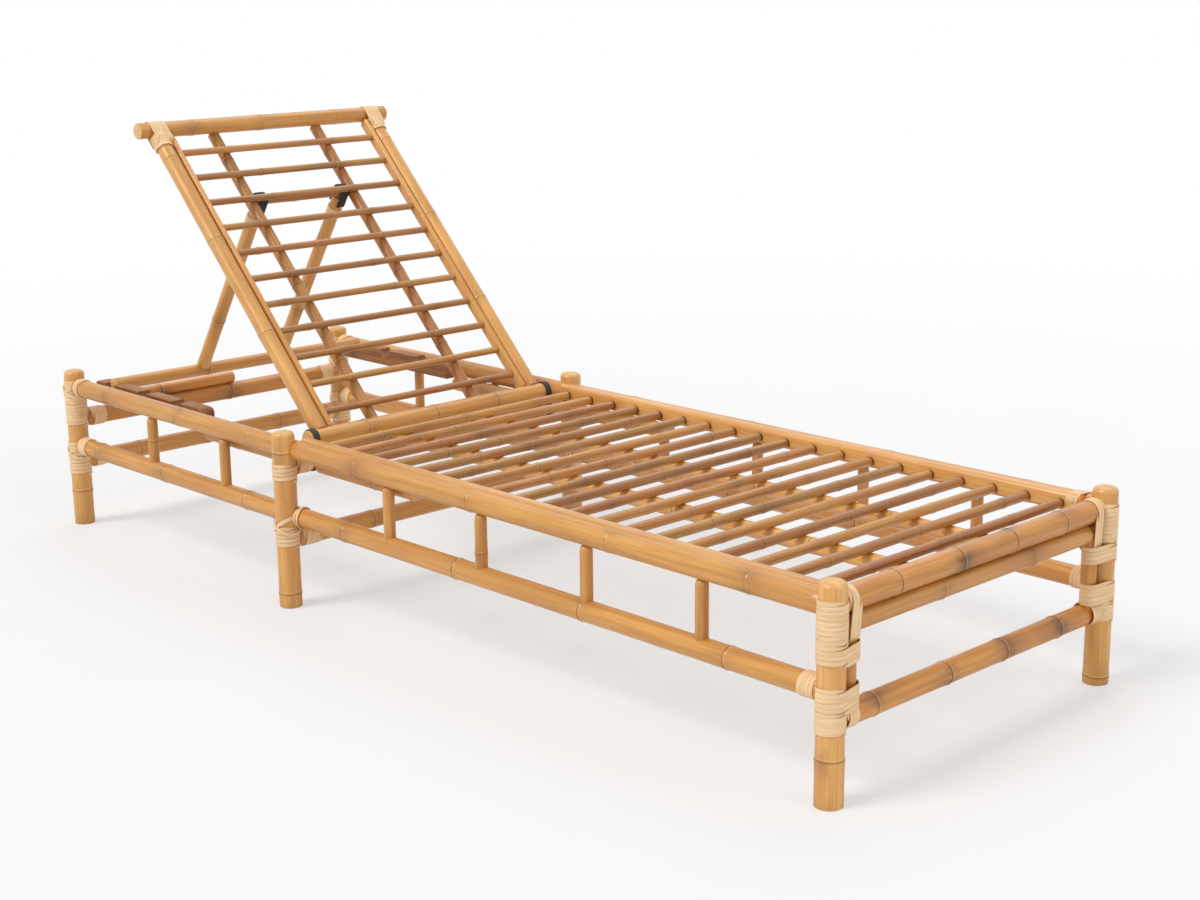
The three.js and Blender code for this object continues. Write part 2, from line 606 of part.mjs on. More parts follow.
// The leg's top is whittled to a tongue, whose cheeks the strap lies on.
function legSolid(y) {
  const leg = culm([0, y, -legLength], [0, y, 0], LEG.radius, [0.3, 0.72]);
  const cheeks = [-1, 1].map((sign) => {
    const depth = LEG.radius - PIVOT_BAR.radius + OVERRUN;
    const block = new THREE.BoxGeometry(depth, 2 * LEG.radius + OVERRUN, TONGUE.length + OVERRUN);
    const x = sign * (PIVOT_BAR.radius + depth / 2);
    block.translate(x, y, (OVERRUN - TONGUE.length) / 2);
    return solidOf(block);
  });
  return cut(leg, ...cheeks, pivotBore, barBore);
}

// A U of strap over the pivot bar, whose tails lie on the leg's cheeks.
function legStrapOutline() {
  const inner = PIVOT_BAR.radius + FIT_GAP;
  const outer = inner + LEG_STRAP.thickness;
  const reach = PIVOT_BAR.radius + LEG_STRAP.length;
  const outline = new THREE.Shape();
  outline.moveTo(outer, -reach);
  outline.lineTo(outer, 0);
  outline.absarc(0, 0, outer, 0, Math.PI, false);
  outline.lineTo(-outer, -reach);
  outline.lineTo(-inner, -reach);
  outline.lineTo(-inner, 0);
  outline.absarc(0, 0, inner, Math.PI, 0, true);
  outline.lineTo(inner, -reach);
  return outline;
}
for (const side of SIDES) {
  const y = side.sign * legY;
  add(prop, `prop_leg_${side.name}`, FINISH.post, legSolid(y));
  const strap = extrudedAlongY(legStrapOutline(), LEG_STRAP.width, y, CULM.segments);
  add(prop, `prop_strap_${side.name}`, FINISH.strap, strap);
  const start = [0, y, -(TONGUE.length + LEG_LASHING.from + LEG_LASHING.length)];
  const wound = winding(start, [0, 0, 1], LEG.radius, LEG_LASHING.length, CULM.segments);
  add(prop, `prop_lashing_${side.name}`, FINISH.rattan, wound);
}

const least = Math.min(...windings.map((wound) => wound.gap));
console.log(`${windings.length} windings, least gap between turns ${least.toFixed(2)} mm`);

export default lounger;
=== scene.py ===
"""A bamboo sun lounger with a folding back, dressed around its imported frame. Sizes are in millimetres."""

import logging
import math
import random
from dataclasses import dataclass, field
from enum import Enum
from typing import Callable, ClassVar, Mapping, Optional, Sequence, Union

import bmesh
import bpy
from mathutils import Matrix, Vector


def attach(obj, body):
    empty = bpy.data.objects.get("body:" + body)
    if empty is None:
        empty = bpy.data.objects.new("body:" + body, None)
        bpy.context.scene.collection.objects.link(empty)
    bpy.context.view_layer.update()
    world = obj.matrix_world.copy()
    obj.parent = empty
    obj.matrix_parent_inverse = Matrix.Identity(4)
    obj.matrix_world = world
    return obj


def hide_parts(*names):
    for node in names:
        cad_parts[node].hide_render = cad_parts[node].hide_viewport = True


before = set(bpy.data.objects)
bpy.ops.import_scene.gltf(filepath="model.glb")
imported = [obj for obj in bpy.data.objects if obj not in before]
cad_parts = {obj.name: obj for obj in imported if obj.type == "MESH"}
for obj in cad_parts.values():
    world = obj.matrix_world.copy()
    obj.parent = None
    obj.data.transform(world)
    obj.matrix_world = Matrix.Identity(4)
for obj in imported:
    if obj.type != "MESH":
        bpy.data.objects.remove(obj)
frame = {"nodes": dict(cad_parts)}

LOG = logging.getLogger("lounger")
MM = 0.001
FAR_AWAY = 1.0
SIDES = (("near", -1.0), ("far", 1.0))

Point = tuple[float, float, float]
Colour = tuple[float, float, float]
Circle = tuple[float, float, float]
Number = Union[float, "Value"]


# Node trees.


class Value:
    """A number in a node tree. Sums, products and powers of values add Math nodes to the tree."""

    def __init__(self, tree: bpy.types.NodeTree, socket: bpy.types.NodeSocket) -> None:
        """Wraps the socket of a tree."""
        self.tree = tree
        self.socket = socket

    def math(self, operation: str, *terms: Number) -> "Value":
        """Adds a Math node.

        Args:
            operation: the Math node's operation.
            terms: its inputs in order.

        Returns:
            The node's result.
        """
        made = add_node(self.tree, "ShaderNodeMath", {"operation": operation}, dict(enumerate(terms)))
        return Value(self.tree, made.outputs[0])

    def __add__(self, other: Number) -> "Value":
        """Adds."""
        return self.math("ADD", self, other)

    def __radd__(self, other: Number) -> "Value":
        """Adds, from the right."""
        return self.math("ADD", other, self)

    def __sub__(self, other: Number) -> "Value":
        """Subtracts."""
        return self.math("SUBTRACT", self, other)

    def __rsub__(self, other: Number) -> "Value":
        """Subtracts, from the right."""
        return self.math("SUBTRACT", other, self)

    def __mul__(self, other: Number) -> "Value":
        """Multiplies."""
        return self.math("MULTIPLY", self, other)

    def __rmul__(self, other: Number) -> "Value":
        """Multiplies, from the right."""
        return self.math("MULTIPLY", other, self)

    def __truediv__(self, other: Number) -> "Value":
        """Divides."""
        return self.math("DIVIDE", self, other)

    def __rtruediv__(self, other: Number) -> "Value":
        """Divides, from the right."""
        return self.math("DIVIDE", other, self)

    def __pow__(self, other: Number) -> "Value":
        """Raises to a power."""
        return self.math("POWER", self, other)

    def bell(self, width: Number) -> "Value":
        """A smooth hump that is 1 at zero and falls away over a width."""
        share = self / width
        fall = share * share * -1.0
        return self.math("EXPONENT", fall)


def add_node(
    tree: bpy.types.NodeTree,
    kind: str,
    settings: Mapping[str, object],
    sockets: Mapping[Union[int, str], object],
) -> bpy.types.Node:
    """Adds a node to a tree.

    Args:
        tree: the tree.
        kind: the node's type.
        settings: the node's properties, which are set first.
        sockets: values or links of its inputs, by index or name.

    Returns:
        The node.
    """
    made = tree.nodes.new(kind)
    for name, value in settings.items():
        setattr(made, name, value)
    for key, value in sockets.items():
        socket = made.inputs[key]
        if isinstance(value, Value):
            tree.links.new(value.socket, socket)
        elif isinstance(value, bpy.types.NodeSocket):
            tree.links.new(value, socket)
        else:
            socket.default_value = value
    return made


class Tree:
    """A node tree in the making."""

    def __init__(self, tree: bpy.types.NodeTree) -> None:
        """Wraps a tree."""
        self.tree = tree

    def node(
        self,
        kind: str,
        settings: Optional[Mapping[str, object]] = None,
        sockets: Optional[Mapping[Union[int, str], object]] = None,
        output: Union[int, str] = 0,
    ) -> Value:
        """Adds any node.

        Args:
            kind: the node's type.
            settings: its properties.
            sockets: values or links of its inputs.
            output: which output is wanted.

        Returns:
            That output.
        """
        made = add_node(self.tree, kind, settings or {}, sockets or {})
        return Value(self.tree, made.outputs[output])


class Recipe(Tree):
    """A material in the making, which ends in a Principled shader."""

    MIX_FACTOR, MIX_FROM, MIX_TO, MIX_RESULT = 0, 6, 7, 2

    def __init__(self, name: str) -> None:
        """Starts a material of that name."""
        self.material = bpy.data.materials.new(name)
        self.material.use_nodes = True
        super().__init__(self.material.node_tree)
        self.shader = self.tree.nodes["Principled BSDF"]

    def attribute(self, name: str, output: str = "Fac") -> Value:
        """Reads an attribute of the mesh."""
        return self.node("ShaderNodeAttribute", {"attribute_name": name}, output=output)

    def stretched(self, vector: Value, stretch: Point) -> Value:
        """Multiplies a vector by one number for each axis."""
        return self.node("ShaderNodeVectorMath", {"operation": "MULTIPLY"}, {0: vector, 1: stretch})

    def noise(self, vector: Value, stretch: Point, detail: float = 2.0, distortion: float = 0.0) -> Value:
        """Noise on a vector.

        Args:
            vector: the coordinates.
            stretch: how fast the noise changes along each axis, per metre.
            detail: the number of octaves.
            distortion: how far the noise is bent.

        Returns:
            A value from 0 to 1.
        """
        sockets = {
            "Vector": self.stretched(vector, stretch),
            "Scale": 1.0,
            "Detail": detail,
            "Distortion": distortion,
        }
        return self.node("ShaderNodeTexNoise", {}, sockets)

    def step(self, value: Value, low: float, high: float) -> Value:
        """A smooth step that is 0 below one value and 1 above another."""
        settings = {"interpolation_type": "SMOOTHSTEP"}
        return self.node("ShaderNodeMapRange", settings, {"Value": value, "From Min": low, "From Max": high})

    def mix(self, factor: Number, low: object, high: object, blend: str = "MIX") -> Value:
        """Mixes two colours.

        Args:
            factor: 0 for the first colour, 1 for the second.
            low: the first colour.
            high: the second colour.
            blend: how the second goes on the first.

        Returns:
            The colour.
        """
        settings = {"data_type": "RGBA", "blend_type": blend}
        sockets = {self.MIX_FACTOR: factor, self.MIX_FROM: painted(low), self.MIX_TO: painted(high)}
        return self.node("ShaderNodeMix", settings, sockets, self.MIX_RESULT)

    def toned(self, colour: Value, hue: Number = 0.5) -> Value:
        """Turns a colour's hue, where 0.5 leaves it, and takes its lightness from the mesh's tone, which also
        holds the painted shade in the slats' sockets.
        """
        sockets = {"Hue": hue, "Value": self.attribute("tone"), "Color": colour}
        return self.node("ShaderNodeHueSaturation", {}, sockets)

    def finish(self, colour: Value, roughness: Number, height: Value, relief: float) -> bpy.types.Material:
        """Feeds the shader.

        Args:
            colour: the base colour.
            roughness: the roughness.
            height: the height of the bump, from 0 to 1.
            relief: how high a height of 1 stands, in metres.

        Returns:
            The material.
        """
        bump = self.node("ShaderNodeBump", {}, {"Strength": 1.0, "Distance": relief, "Height": height})
        self.tree.links.new(colour.socket, self.shader.inputs["Base Color"])
        self.tree.links.new(bump.socket, self.shader.inputs["Normal"])
        if isinstance(roughness, Value):
            self.tree.links.new(roughness.socket, self.shader.inputs["Roughness"])
        else:
            self.shader.inputs["Roughness"].default_value = roughness
        return self.material


def painted(colour: object) -> object:
    """A colour of three numbers as the four that a socket takes. Anything else stays as it is."""
    return (*colour, 1.0) if isinstance(colour, tuple) else colour


# Finishes.


@dataclass(frozen=True)
class BambooFinish:
    """Lacquered bamboo: fibres along the pole, a dark line at each node and flecks between."""

    name: str
    pale: Colour
    deep: Colour
    blush: Colour = (0.58, 0.23, 0.06)
    node: Colour = (0.15, 0.06, 0.02)
    stripe: float = 0.0011
    end: Colour = (0.72, 0.5, 0.24)
    scorch: float = 0.4
    fleck: float = 0.5
    hues: float = 0.003
    roughness: float = 0.32
    coat: float = 0.2
    coat_roughness: float = 0.18
    relief: float = 0.00025

    # How fast each pattern changes along the pole and across it, per metre.
    FIBRES: ClassVar[Point] = (14.0, 480.0, 480.0)
    STREAKS: ClassVar[Point] = (3.5, 110.0, 110.0)
    CLOUDS: ClassVar[Point] = (7.0, 26.0, 26.0)
    SWEEPS: ClassVar[Point] = (4.0, 12.0, 12.0)
    RIPPLES: ClassVar[Point] = (60.0, 60.0, 60.0)
    SPECKS: ClassVar[Point] = (130.0, 420.0, 420.0)
    PATCHES: ClassVar[Point] = (9.0, 30.0, 30.0)

    # The step from pole to pole in a run of hues that never repeats, and how far the run leans to red.
    SPREAD: ClassVar[float] = 5.857
    REDDER: ClassVar[float] = 0.68

    # The pale rim's distance from a node's line and its width, and how near a node its lines may show.
    RIM: ClassVar[tuple[float, float]] = (0.0034, 0.0016)
    REACH: ClassVar[tuple[float, float]] = (0.008, 0.014)
    WAVER: ClassVar[float] = 0.003
    HALO: ClassVar[float] = 0.018
    WIDE_HALO: ClassVar[float] = 0.05
    WIDE_SHARE: ClassVar[float] = 0.35

    # Where each noise starts to show, and where it shows in full.
    TAN_EDGE: ClassVar[tuple[float, float]] = (0.25, 0.75)
    SWEEP_EDGE: ClassVar[tuple[float, float]] = (0.4, 0.7)
    CLOUD_EDGE: ClassVar[tuple[float, float]] = (0.48, 0.72)
    SCORCH_EDGE: ClassVar[tuple[float, float]] = (0.5, 0.78)
    SPECK_EDGE: ClassVar[tuple[float, float]] = (0.68, 0.76)
    PATCH_EDGE: ClassVar[tuple[float, float]] = (0.5, 0.66)
    CUT_EDGE: ClassVar[tuple[float, float]] = (0.4, 0.7)

    # How strongly the sweeps, the clouds, a node's rim and its line cover what is below.
    SWEEP_DEPTH: ClassVar[float] = 0.55
    CLOUD_DEPTH: ClassVar[float] = 0.5
    RIM_DEPTH: ClassVar[float] = 0.5
    LINE_DEPTH: ClassVar[float] = 0.95

    def rings(self, made: Recipe, grain: Value) -> tuple[Value, Value]:
        """The masks of a node's dark line and of its pale rim.

        Args:
            made: the material.
            grain: the pole's own coordinates.

        Returns:
            The two masks.
        """
        ripple = made.noise(grain, self.RIPPLES, 1.0)
        shown = (1.0 - made.step(made.attribute("near"), *self.REACH)) * made.attribute("scar")
        knot = made.attribute("knot") + (ripple - 0.5) * self.WAVER
        distance, width = self.RIM
        return knot.bell(self.stripe) * shown, (knot - distance).bell(width) * shown

    def scorched(self, made: Recipe, clouds: Value) -> Value:
        """The mask of the brown that spreads from a node.

        Args:
            made: the material.
            clouds: the noise that breaks it up.

        Returns:
            The mask.
        """
        near = made.attribute("near")
        halo = near.bell(self.WIDE_HALO) * self.WIDE_SHARE + near.bell(self.HALO) * (1 - self.WIDE_SHARE)
        return halo * made.step(clouds, *self.SCORCH_EDGE) * self.scorch

    def flecked(self, made: Recipe, grain: Value) -> Value:
        """The mask of the dark flecks, which lie in patches."""
        specks = made.step(made.noise(grain, self.SPECKS), *self.SPECK_EDGE)
        patches = made.step(made.noise(grain, self.PATCHES, 1.0), *self.PATCH_EDGE)
        return specks * patches * self.fleck

    def hue(self, made: Recipe) -> Value:
        """The hue of this pole, where 0.5 leaves the colours as they are."""
        chance = made.attribute("lot") * self.SPREAD
        return 0.5 + (chance.math("FRACT", chance) - self.REDDER) * self.hues

    def material(self) -> bpy.types.Material:
        """Makes the material."""
        made = Recipe(self.name)
        grain = made.attribute("grain", "Vector")
        fibre = made.noise(grain, self.FIBRES)
        streak = made.noise(grain, self.STREAKS, 3.0)
        cloud = made.noise(grain, self.CLOUDS, 3.0)
        sweep = made.noise(grain, self.SWEEPS)
        line, rim = self.rings(made, grain)
        tan = made.mix(made.step(streak * 0.6 + fibre * 0.4, *self.TAN_EDGE), self.deep, self.pale)
        tan = made.mix(made.step(sweep, *self.SWEEP_EDGE) * self.SWEEP_DEPTH, tan, self.deep)
        tan = made.mix(made.step(cloud, *self.CLOUD_EDGE) * self.CLOUD_DEPTH, tan, self.blush)
        tan = made.mix(self.scorched(made, cloud + fibre * 0.25), tan, self.node)
        tan = made.mix(self.flecked(made, grain), tan, self.node)
        tan = made.mix(rim * self.RIM_DEPTH, tan, self.pale)
        tan = made.mix(line * self.LINE_DEPTH, tan, self.node)
        tan = made.toned(tan, self.hue(made))
        cut = made.attribute("cut")
        tan = made.mix(cut, tan, made.mix(made.step(fibre, *self.CUT_EDGE), self.end, self.pale))
        made.shader.inputs["Coat Weight"].default_value = self.coat
        made.shader.inputs["Coat Roughness"].default_value = self.coat_roughness
        roughness = self.roughness + (fibre - 0.5) * 0.2 + cut * 0.3
        return made.finish(tan, roughness, fibre * 0.4 + streak * 0.6 - line * 0.8, self.relief)


@dataclass(frozen=True)
class RattanFinish:
    """Split rattan: fine lines along the strand, and painted shade along each strand's edges, in the crease
    where two strands meet.
    """

    name: str
    pale: Colour
    deep: Colour
    crease_shade: Colour
    roughness: float = 0.5
    relief: float = 0.0004

    # How fast each pattern changes, per metre along the strand and per half width and thickness.
    FIBRES: ClassVar[Point] = (40.0, 7.0, 2.0)
    PATCHES: ClassVar[Point] = (14.0, 0.4, 0.4)

    # Where the pale colour, the painted shade at a strand's edge and the deep patches start and are full.
    TAN_EDGE: ClassVar[tuple[float, float]] = (0.36, 0.64)
    CREASE_SHADE_EDGE: ClassVar[tuple[float, float]] = (0.8, 1.0)
    PATCH_EDGE: ClassVar[tuple[float, float]] = (0.6, 0.8)
    # How strongly the painted shade at a strand's edge and the deep patches cover what is below.
    CREASE_SHADE_DEPTH: ClassVar[float] = 0.6
    PATCH_DEPTH: ClassVar[float] = 0.35

    def material(self) -> bpy.types.Material:
        """Makes the material."""
        made = Recipe(self.name)
        grain = made.attribute("grain", "Vector")
        across = made.node("ShaderNodeSeparateXYZ", {}, {0: grain}, "Y")
        fibre = made.noise(grain, self.FIBRES, 3.0)
        patch = made.noise(grain, self.PATCHES)
        tan = made.mix(made.step(fibre * 0.6 + patch * 0.4, *self.TAN_EDGE), self.deep, self.pale)
        # Each strand's edges are darkened: painted shade for the crease where two strands meet.
        edge = made.step(across.math("ABSOLUTE", across), *self.CREASE_SHADE_EDGE)
        tan = made.mix(edge * self.CREASE_SHADE_DEPTH, tan, self.crease_shade)
        tan = made.mix(made.step(patch, *self.PATCH_EDGE) * self.PATCH_DEPTH, tan, self.deep)
        return made.finish(made.toned(tan), self.roughness + (fibre - 0.5) * 0.2, fibre, self.relief)


@dataclass(frozen=True)
class TimberFinish:
    """Oiled hardwood, its grain along X."""

    name: str
    pale: Colour
    deep: Colour
    pore: Colour
    roughness: float = 0.42
    relief: float = 0.0004

    # How fast each pattern changes along X, Y and Z, per metre.
    FIGURE: ClassVar[Point] = (9.0, 110.0, 140.0)
    PORES: ClassVar[Point] = (60.0, 900.0, 900.0)

    # Where the pale colour and the pores start and are full.
    TAN_EDGE: ClassVar[tuple[float, float]] = (0.36, 0.66)
    PORE_EDGE: ClassVar[tuple[float, float]] = (0.6, 0.72)
    PORE_DEPTH: ClassVar[float] = 0.55

    def material(self) -> bpy.types.Material:
        """Makes the material."""
        made = Recipe(self.name)
        place = made.node("ShaderNodeTexCoord", output="Object")
        figure = made.noise(place, self.FIGURE, 4.0, 0.6)
        pores = made.step(made.noise(place, self.PORES), *self.PORE_EDGE)
        tan = made.mix(made.step(figure, *self.TAN_EDGE), self.deep, self.pale)
        tan = made.mix(pores * self.PORE_DEPTH, tan, self.pore)
        return made.finish(tan, self.roughness + figure * 0.16, figure * 0.5 - pores * 0.5, self.relief)


@dataclass(frozen=True)
class StrapFinish:
    """Black strap, faintly ribbed and scuffed."""

    name: str
    pale: Colour
    deep: Colour
    roughness: float = 0.5
    relief: float = 0.0003

    # How fast the scuffs change, per metre, and where they start and are full.
    SCUFFS: ClassVar[Point] = (320.0, 320.0, 320.0)
    SCUFF_EDGE: ClassVar[tuple[float, float]] = (0.5, 0.75)

    def material(self) -> bpy.types.Material:
        """Makes the material."""
        made = Recipe(self.name)
        scuff = made.noise(made.node("ShaderNodeTexCoord", output="Object"), self.SCUFFS, 3.0)
        tan = made.mix(made.step(scuff, *self.SCUFF_EDGE), self.deep, self.pale)
        return made.finish(tan, self.roughness + scuff * 0.2, scuff, self.relief)


class Slot(Enum):
    """The record's material slots."""

    POST = "post_bamboo"
    RAIL = "rail_bamboo"
    DARK = "dark_bamboo"
    SLAT = "slat_bamboo"
    RATTAN = "rattan"
    TIMBER = "hardwood"
    STRAP = "strap"


FINISHES: dict[Slot, Union[BambooFinish, RattanFinish, TimberFinish, StrapFinish]] = {
    Slot.POST: BambooFinish("honey bamboo", (0.84, 0.47, 0.14), (0.6, 0.28, 0.062)),
    Slot.RAIL: BambooFinish("amber bamboo", (0.79, 0.4, 0.095), (0.5, 0.215, 0.04)),
    Slot.DARK: BambooFinish(
        "scorched bamboo",
        (0.8, 0.37, 0.072),
        (0.46, 0.18, 0.03),
        (0.5, 0.17, 0.035),
        (0.07, 0.026, 0.018),
        0.0017,
        scorch=0.9,
        fleck=0.9,
    ),
    Slot.SLAT: BambooFinish(
        "slat bamboo", (0.62, 0.3, 0.068), (0.36, 0.15, 0.03), (0.36, 0.13, 0.028), hues=0.017
    ),
    # The rattan's third colour is painted shade, laid along each strand's edges.
    Slot.RATTAN: RattanFinish("rattan", (0.97, 0.68, 0.4), (0.8, 0.52, 0.26), (0.4, 0.22, 0.085)),
    Slot.TIMBER: TimberFinish(
        "hardwood", (0.38, 0.15, 0.036), (0.22, 0.08, 0.018), (0.085, 0.032, 0.01)
    ),
    Slot.STRAP: StrapFinish("strap", (0.03, 0.03, 0.033), (0.009, 0.009, 0.01)),
}


# Paths, and the trees that grow poles and strands on them.


class Paths:
    """Lines of points with attributes: the mesh that a tree starts from."""

    def __init__(self) -> None:
        """Starts with no line."""
        self.points: list[Vector] = []
        self.edges: list[tuple[int, int]] = []
        self.numbers: dict[str, list[float]] = {}
        self.vectors: dict[str, list[Vector]] = {}

    def line(self, points: Sequence[Vector], **attributes: Sequence[object]) -> None:
        """Adds a line.

        Args:
            points: its points in metres.
            attributes: a number or a vector for each point, by name.
        """
        first = len(self.points)
        self.points.extend(points)
        self.edges.extend((first + step, first + step + 1) for step in range(len(points) - 1))
        for name, values in attributes.items():
            kept = self.vectors if isinstance(values[0], Vector) else self.numbers
            kept.setdefault(name, []).extend(values)

    def mesh(self, name: str) -> bpy.types.Mesh:
        """Turns the lines into a mesh of that name."""
        made = bpy.data.meshes.new(name)
        made.from_pydata([tuple(point) for point in self.points], self.edges, [])
        for key, values in self.numbers.items():
            made.attributes.new(key, "FLOAT", "POINT").data.foreach_set("value", values)
        for key, values in self.vectors.items():
            flat = [part for value in values for part in value]
            made.attributes.new(key, "FLOAT_VECTOR", "POINT").data.foreach_set("vector", flat)
        return made


def placed(name: str, data: Optional[bpy.types.ID]) -> bpy.types.Object:
    """Makes an object of some data and links it to the scene."""
    made = bpy.data.objects.new(name, data)
    bpy.context.scene.collection.objects.link(made)
    return made


def plain_mesh(rough: bpy.types.Object) -> bpy.types.Mesh:
    """Turns an object with modifiers into a plain mesh, and removes the object."""
    graph = bpy.context.evaluated_depsgraph_get()
    evaluated = rough.evaluated_get(graph)
    mesh = bpy.data.meshes.new_from_object(evaluated, preserve_all_data_layers=True, depsgraph=graph)
    rough.modifiers.clear()
    bpy.data.objects.remove(rough)
    return mesh


class PathTree(Tree):
    """A geometry tree that sweeps a section along each line."""

    def __init__(self, name: str, inputs: Mapping[str, tuple[str, object]]) -> None:
        """Starts a tree.

        Args:
            name: its name.
            inputs: the kind and default of each named input.
        """
        super().__init__(bpy.data.node_groups.new(name, "GeometryNodeTree"))
        interface = self.tree.interface
        interface.new_socket("Geometry", in_out="INPUT", socket_type="NodeSocketGeometry")
        interface.new_socket("Geometry", in_out="OUTPUT", socket_type="NodeSocketGeometry")
        for label, (kind, default) in inputs.items():
            socket = interface.new_socket(label, in_out="INPUT", socket_type=kind)
            if default is not None:
                socket.default_value = default
        self.inputs = self.tree.nodes.new("NodeGroupInput")
        self.outputs = self.tree.nodes.new("NodeGroupOutput")

    def given(self, name: str) -> Value:
        """One of the named inputs."""
        return Value(self.tree, self.inputs.outputs[name])

    def attribute(self, name: str, kind: str = "FLOAT") -> Value:
        """Reads a named attribute."""
        return self.node("GeometryNodeInputNamedAttribute", {"data_type": kind}, {"Name": name})

    def stored(self, geometry: Value, name: str, vector: Value) -> Value:
        """Stores a vector on each point of a geometry."""
        settings = {"data_type": "FLOAT_VECTOR", "domain": "POINT"}
        sockets = {"Geometry": geometry, "Name": name, "Value": vector}
        return self.node("GeometryNodeStoreNamedAttribute", settings, sockets)

    def vector(self, x: Number, y: Number, z: Number) -> Value:
        """A vector of three numbers."""
        return self.node("ShaderNodeCombineXYZ", {}, {0: x, 1: y, 2: z})

    def parts(self, vector: Value) -> tuple[Value, Value, Value]:
        """The three numbers of a vector."""
        made = add_node(self.tree, "ShaderNodeSeparateXYZ", {}, {0: vector})
        return tuple(Value(self.tree, made.outputs[index]) for index in range(3))

    def section(self) -> Value:
        """A ring of radius 1 that keeps its own places as the attribute rim."""
        sockets = {"Resolution": self.given("Sides"), "Radius": 1.0}
        ring = self.node("GeometryNodeCurvePrimitiveCircle", {}, sockets)
        return self.stored(ring, "rim", self.node("GeometryNodeInputPosition"))

    def end(self, geometry: Value) -> None:
        """Smooths the faces, realizes the instances, sets the finish and closes the tree."""
        smooth = self.node("GeometryNodeSetShadeSmooth", {}, {"Geometry": geometry})
        real = self.node("GeometryNodeRealizeInstances", {}, {"Geometry": smooth})
        sockets = {"Geometry": real, "Material": self.given("Finish")}
        dressed = self.node("GeometryNodeSetMaterial", {}, sockets)
        self.tree.links.new(dressed.socket, self.outputs.inputs["Geometry"])

    def grow(self, paths: Paths, name: str, settings: Mapping[str, object]) -> bpy.types.Mesh:
        """Runs the tree on some lines.

        Args:
            paths: the lines.
            name: the name of the mesh.
            settings: the tree's named inputs.

        Returns:
            A plain mesh.
        """
        grown = placed(name, paths.mesh(name))
        modifier = grown.modifiers.new(name, "NODES")
        modifier.node_group = self.tree
        for item in self.tree.interface.items_tree:
            if item.name in settings:
                modifier[item.identifier] = settings[item.name]
        return plain_mesh(grown)


class CulmTree(PathTree):
    """Sweeps a round section along each line: a bamboo pole with a ridge at each node."""

    # How fast a pole wanders along its length, in waves per metre, and how far apart two poles' noise lies.
    WANDER = 2.2
    APART = 3.7
    SHIFT = 5.3

    # The groove beside a node's ridge: its depth, distance and width, as shares of the ridge's.
    GROOVE_SHARES = (0.55, 1.7, 0.6)
    SWELL_SHARE = 6.0

    def __init__(self) -> None:
        """Builds the tree."""
        inputs = {
            "Sides": ("NodeSocketInt", 28),
            "Ring Rise": ("NodeSocketFloat", 0.0009),
            "Ring Width": ("NodeSocketFloat", 0.0016),
            "Swell": ("NodeSocketFloat", 0.0005),
            "Crook": ("NodeSocketFloat", 0.0),
            "Seed": ("NodeSocketFloat", 0.0),
            "Finish": ("NodeSocketMaterial", None),
        }
        super().__init__("culm", inputs)
        along, girth = self.attribute("along"), self.attribute("girth")
        curve = self.node("GeometryNodeMeshToCurve", {}, {"Mesh": self.bent(along)})
        sockets = {
            "Curve": curve,
            "Profile Curve": self.section(),
            "Scale": self.radius(girth),
            "Fill Caps": True,
        }
        tube = self.node("GeometryNodeCurveToMesh", {}, sockets)
        x, y, _ = self.parts(self.attribute("rim", "FLOAT_VECTOR"))
        grain = self.vector(along + self.attribute("lot") * self.SHIFT, x * girth, y * girth)
        self.end(self.stored(tube, "grain", grain))

    def bent(self, along: Value) -> Value:
        """The lines, bent a little by noise wherever they are free."""
        place = self.vector(along * self.WANDER, self.given("Seed"), self.attribute("lot") * self.APART)
        sockets = {"Vector": place, "Scale": 1.0, "Detail": 1.0}
        drift = self.node("ShaderNodeTexNoise", {}, sockets, "Color")
        centred = self.node("ShaderNodeVectorMath", {"operation": "SUBTRACT"}, {0: drift, 1: (0.5,) * 3})
        reach = self.given("Crook") * self.attribute("free")
        offset = self.node("ShaderNodeVectorMath", {"operation": "SCALE"}, {0: centred, "Scale": reach})
        sockets = {"Geometry": self.given("Geometry"), "Offset": offset}
        return self.node("GeometryNodeSetPosition", {}, sockets)

    def radius(self, girth: Value) -> Value:
        """The radius along a pole, with the ridge, groove and swelling of its nodes."""
        knot = self.attribute("knot")
        rise, width = self.given("Ring Rise") * self.attribute("ridge"), self.given("Ring Width")
        depth, distance, breadth = self.GROOVE_SHARES
        ridge = rise * knot.bell(width) - rise * depth * (knot - width * distance).bell(width * breadth)
        return girth + ridge + self.given("Swell") * knot.bell(width * self.SWELL_SHARE)


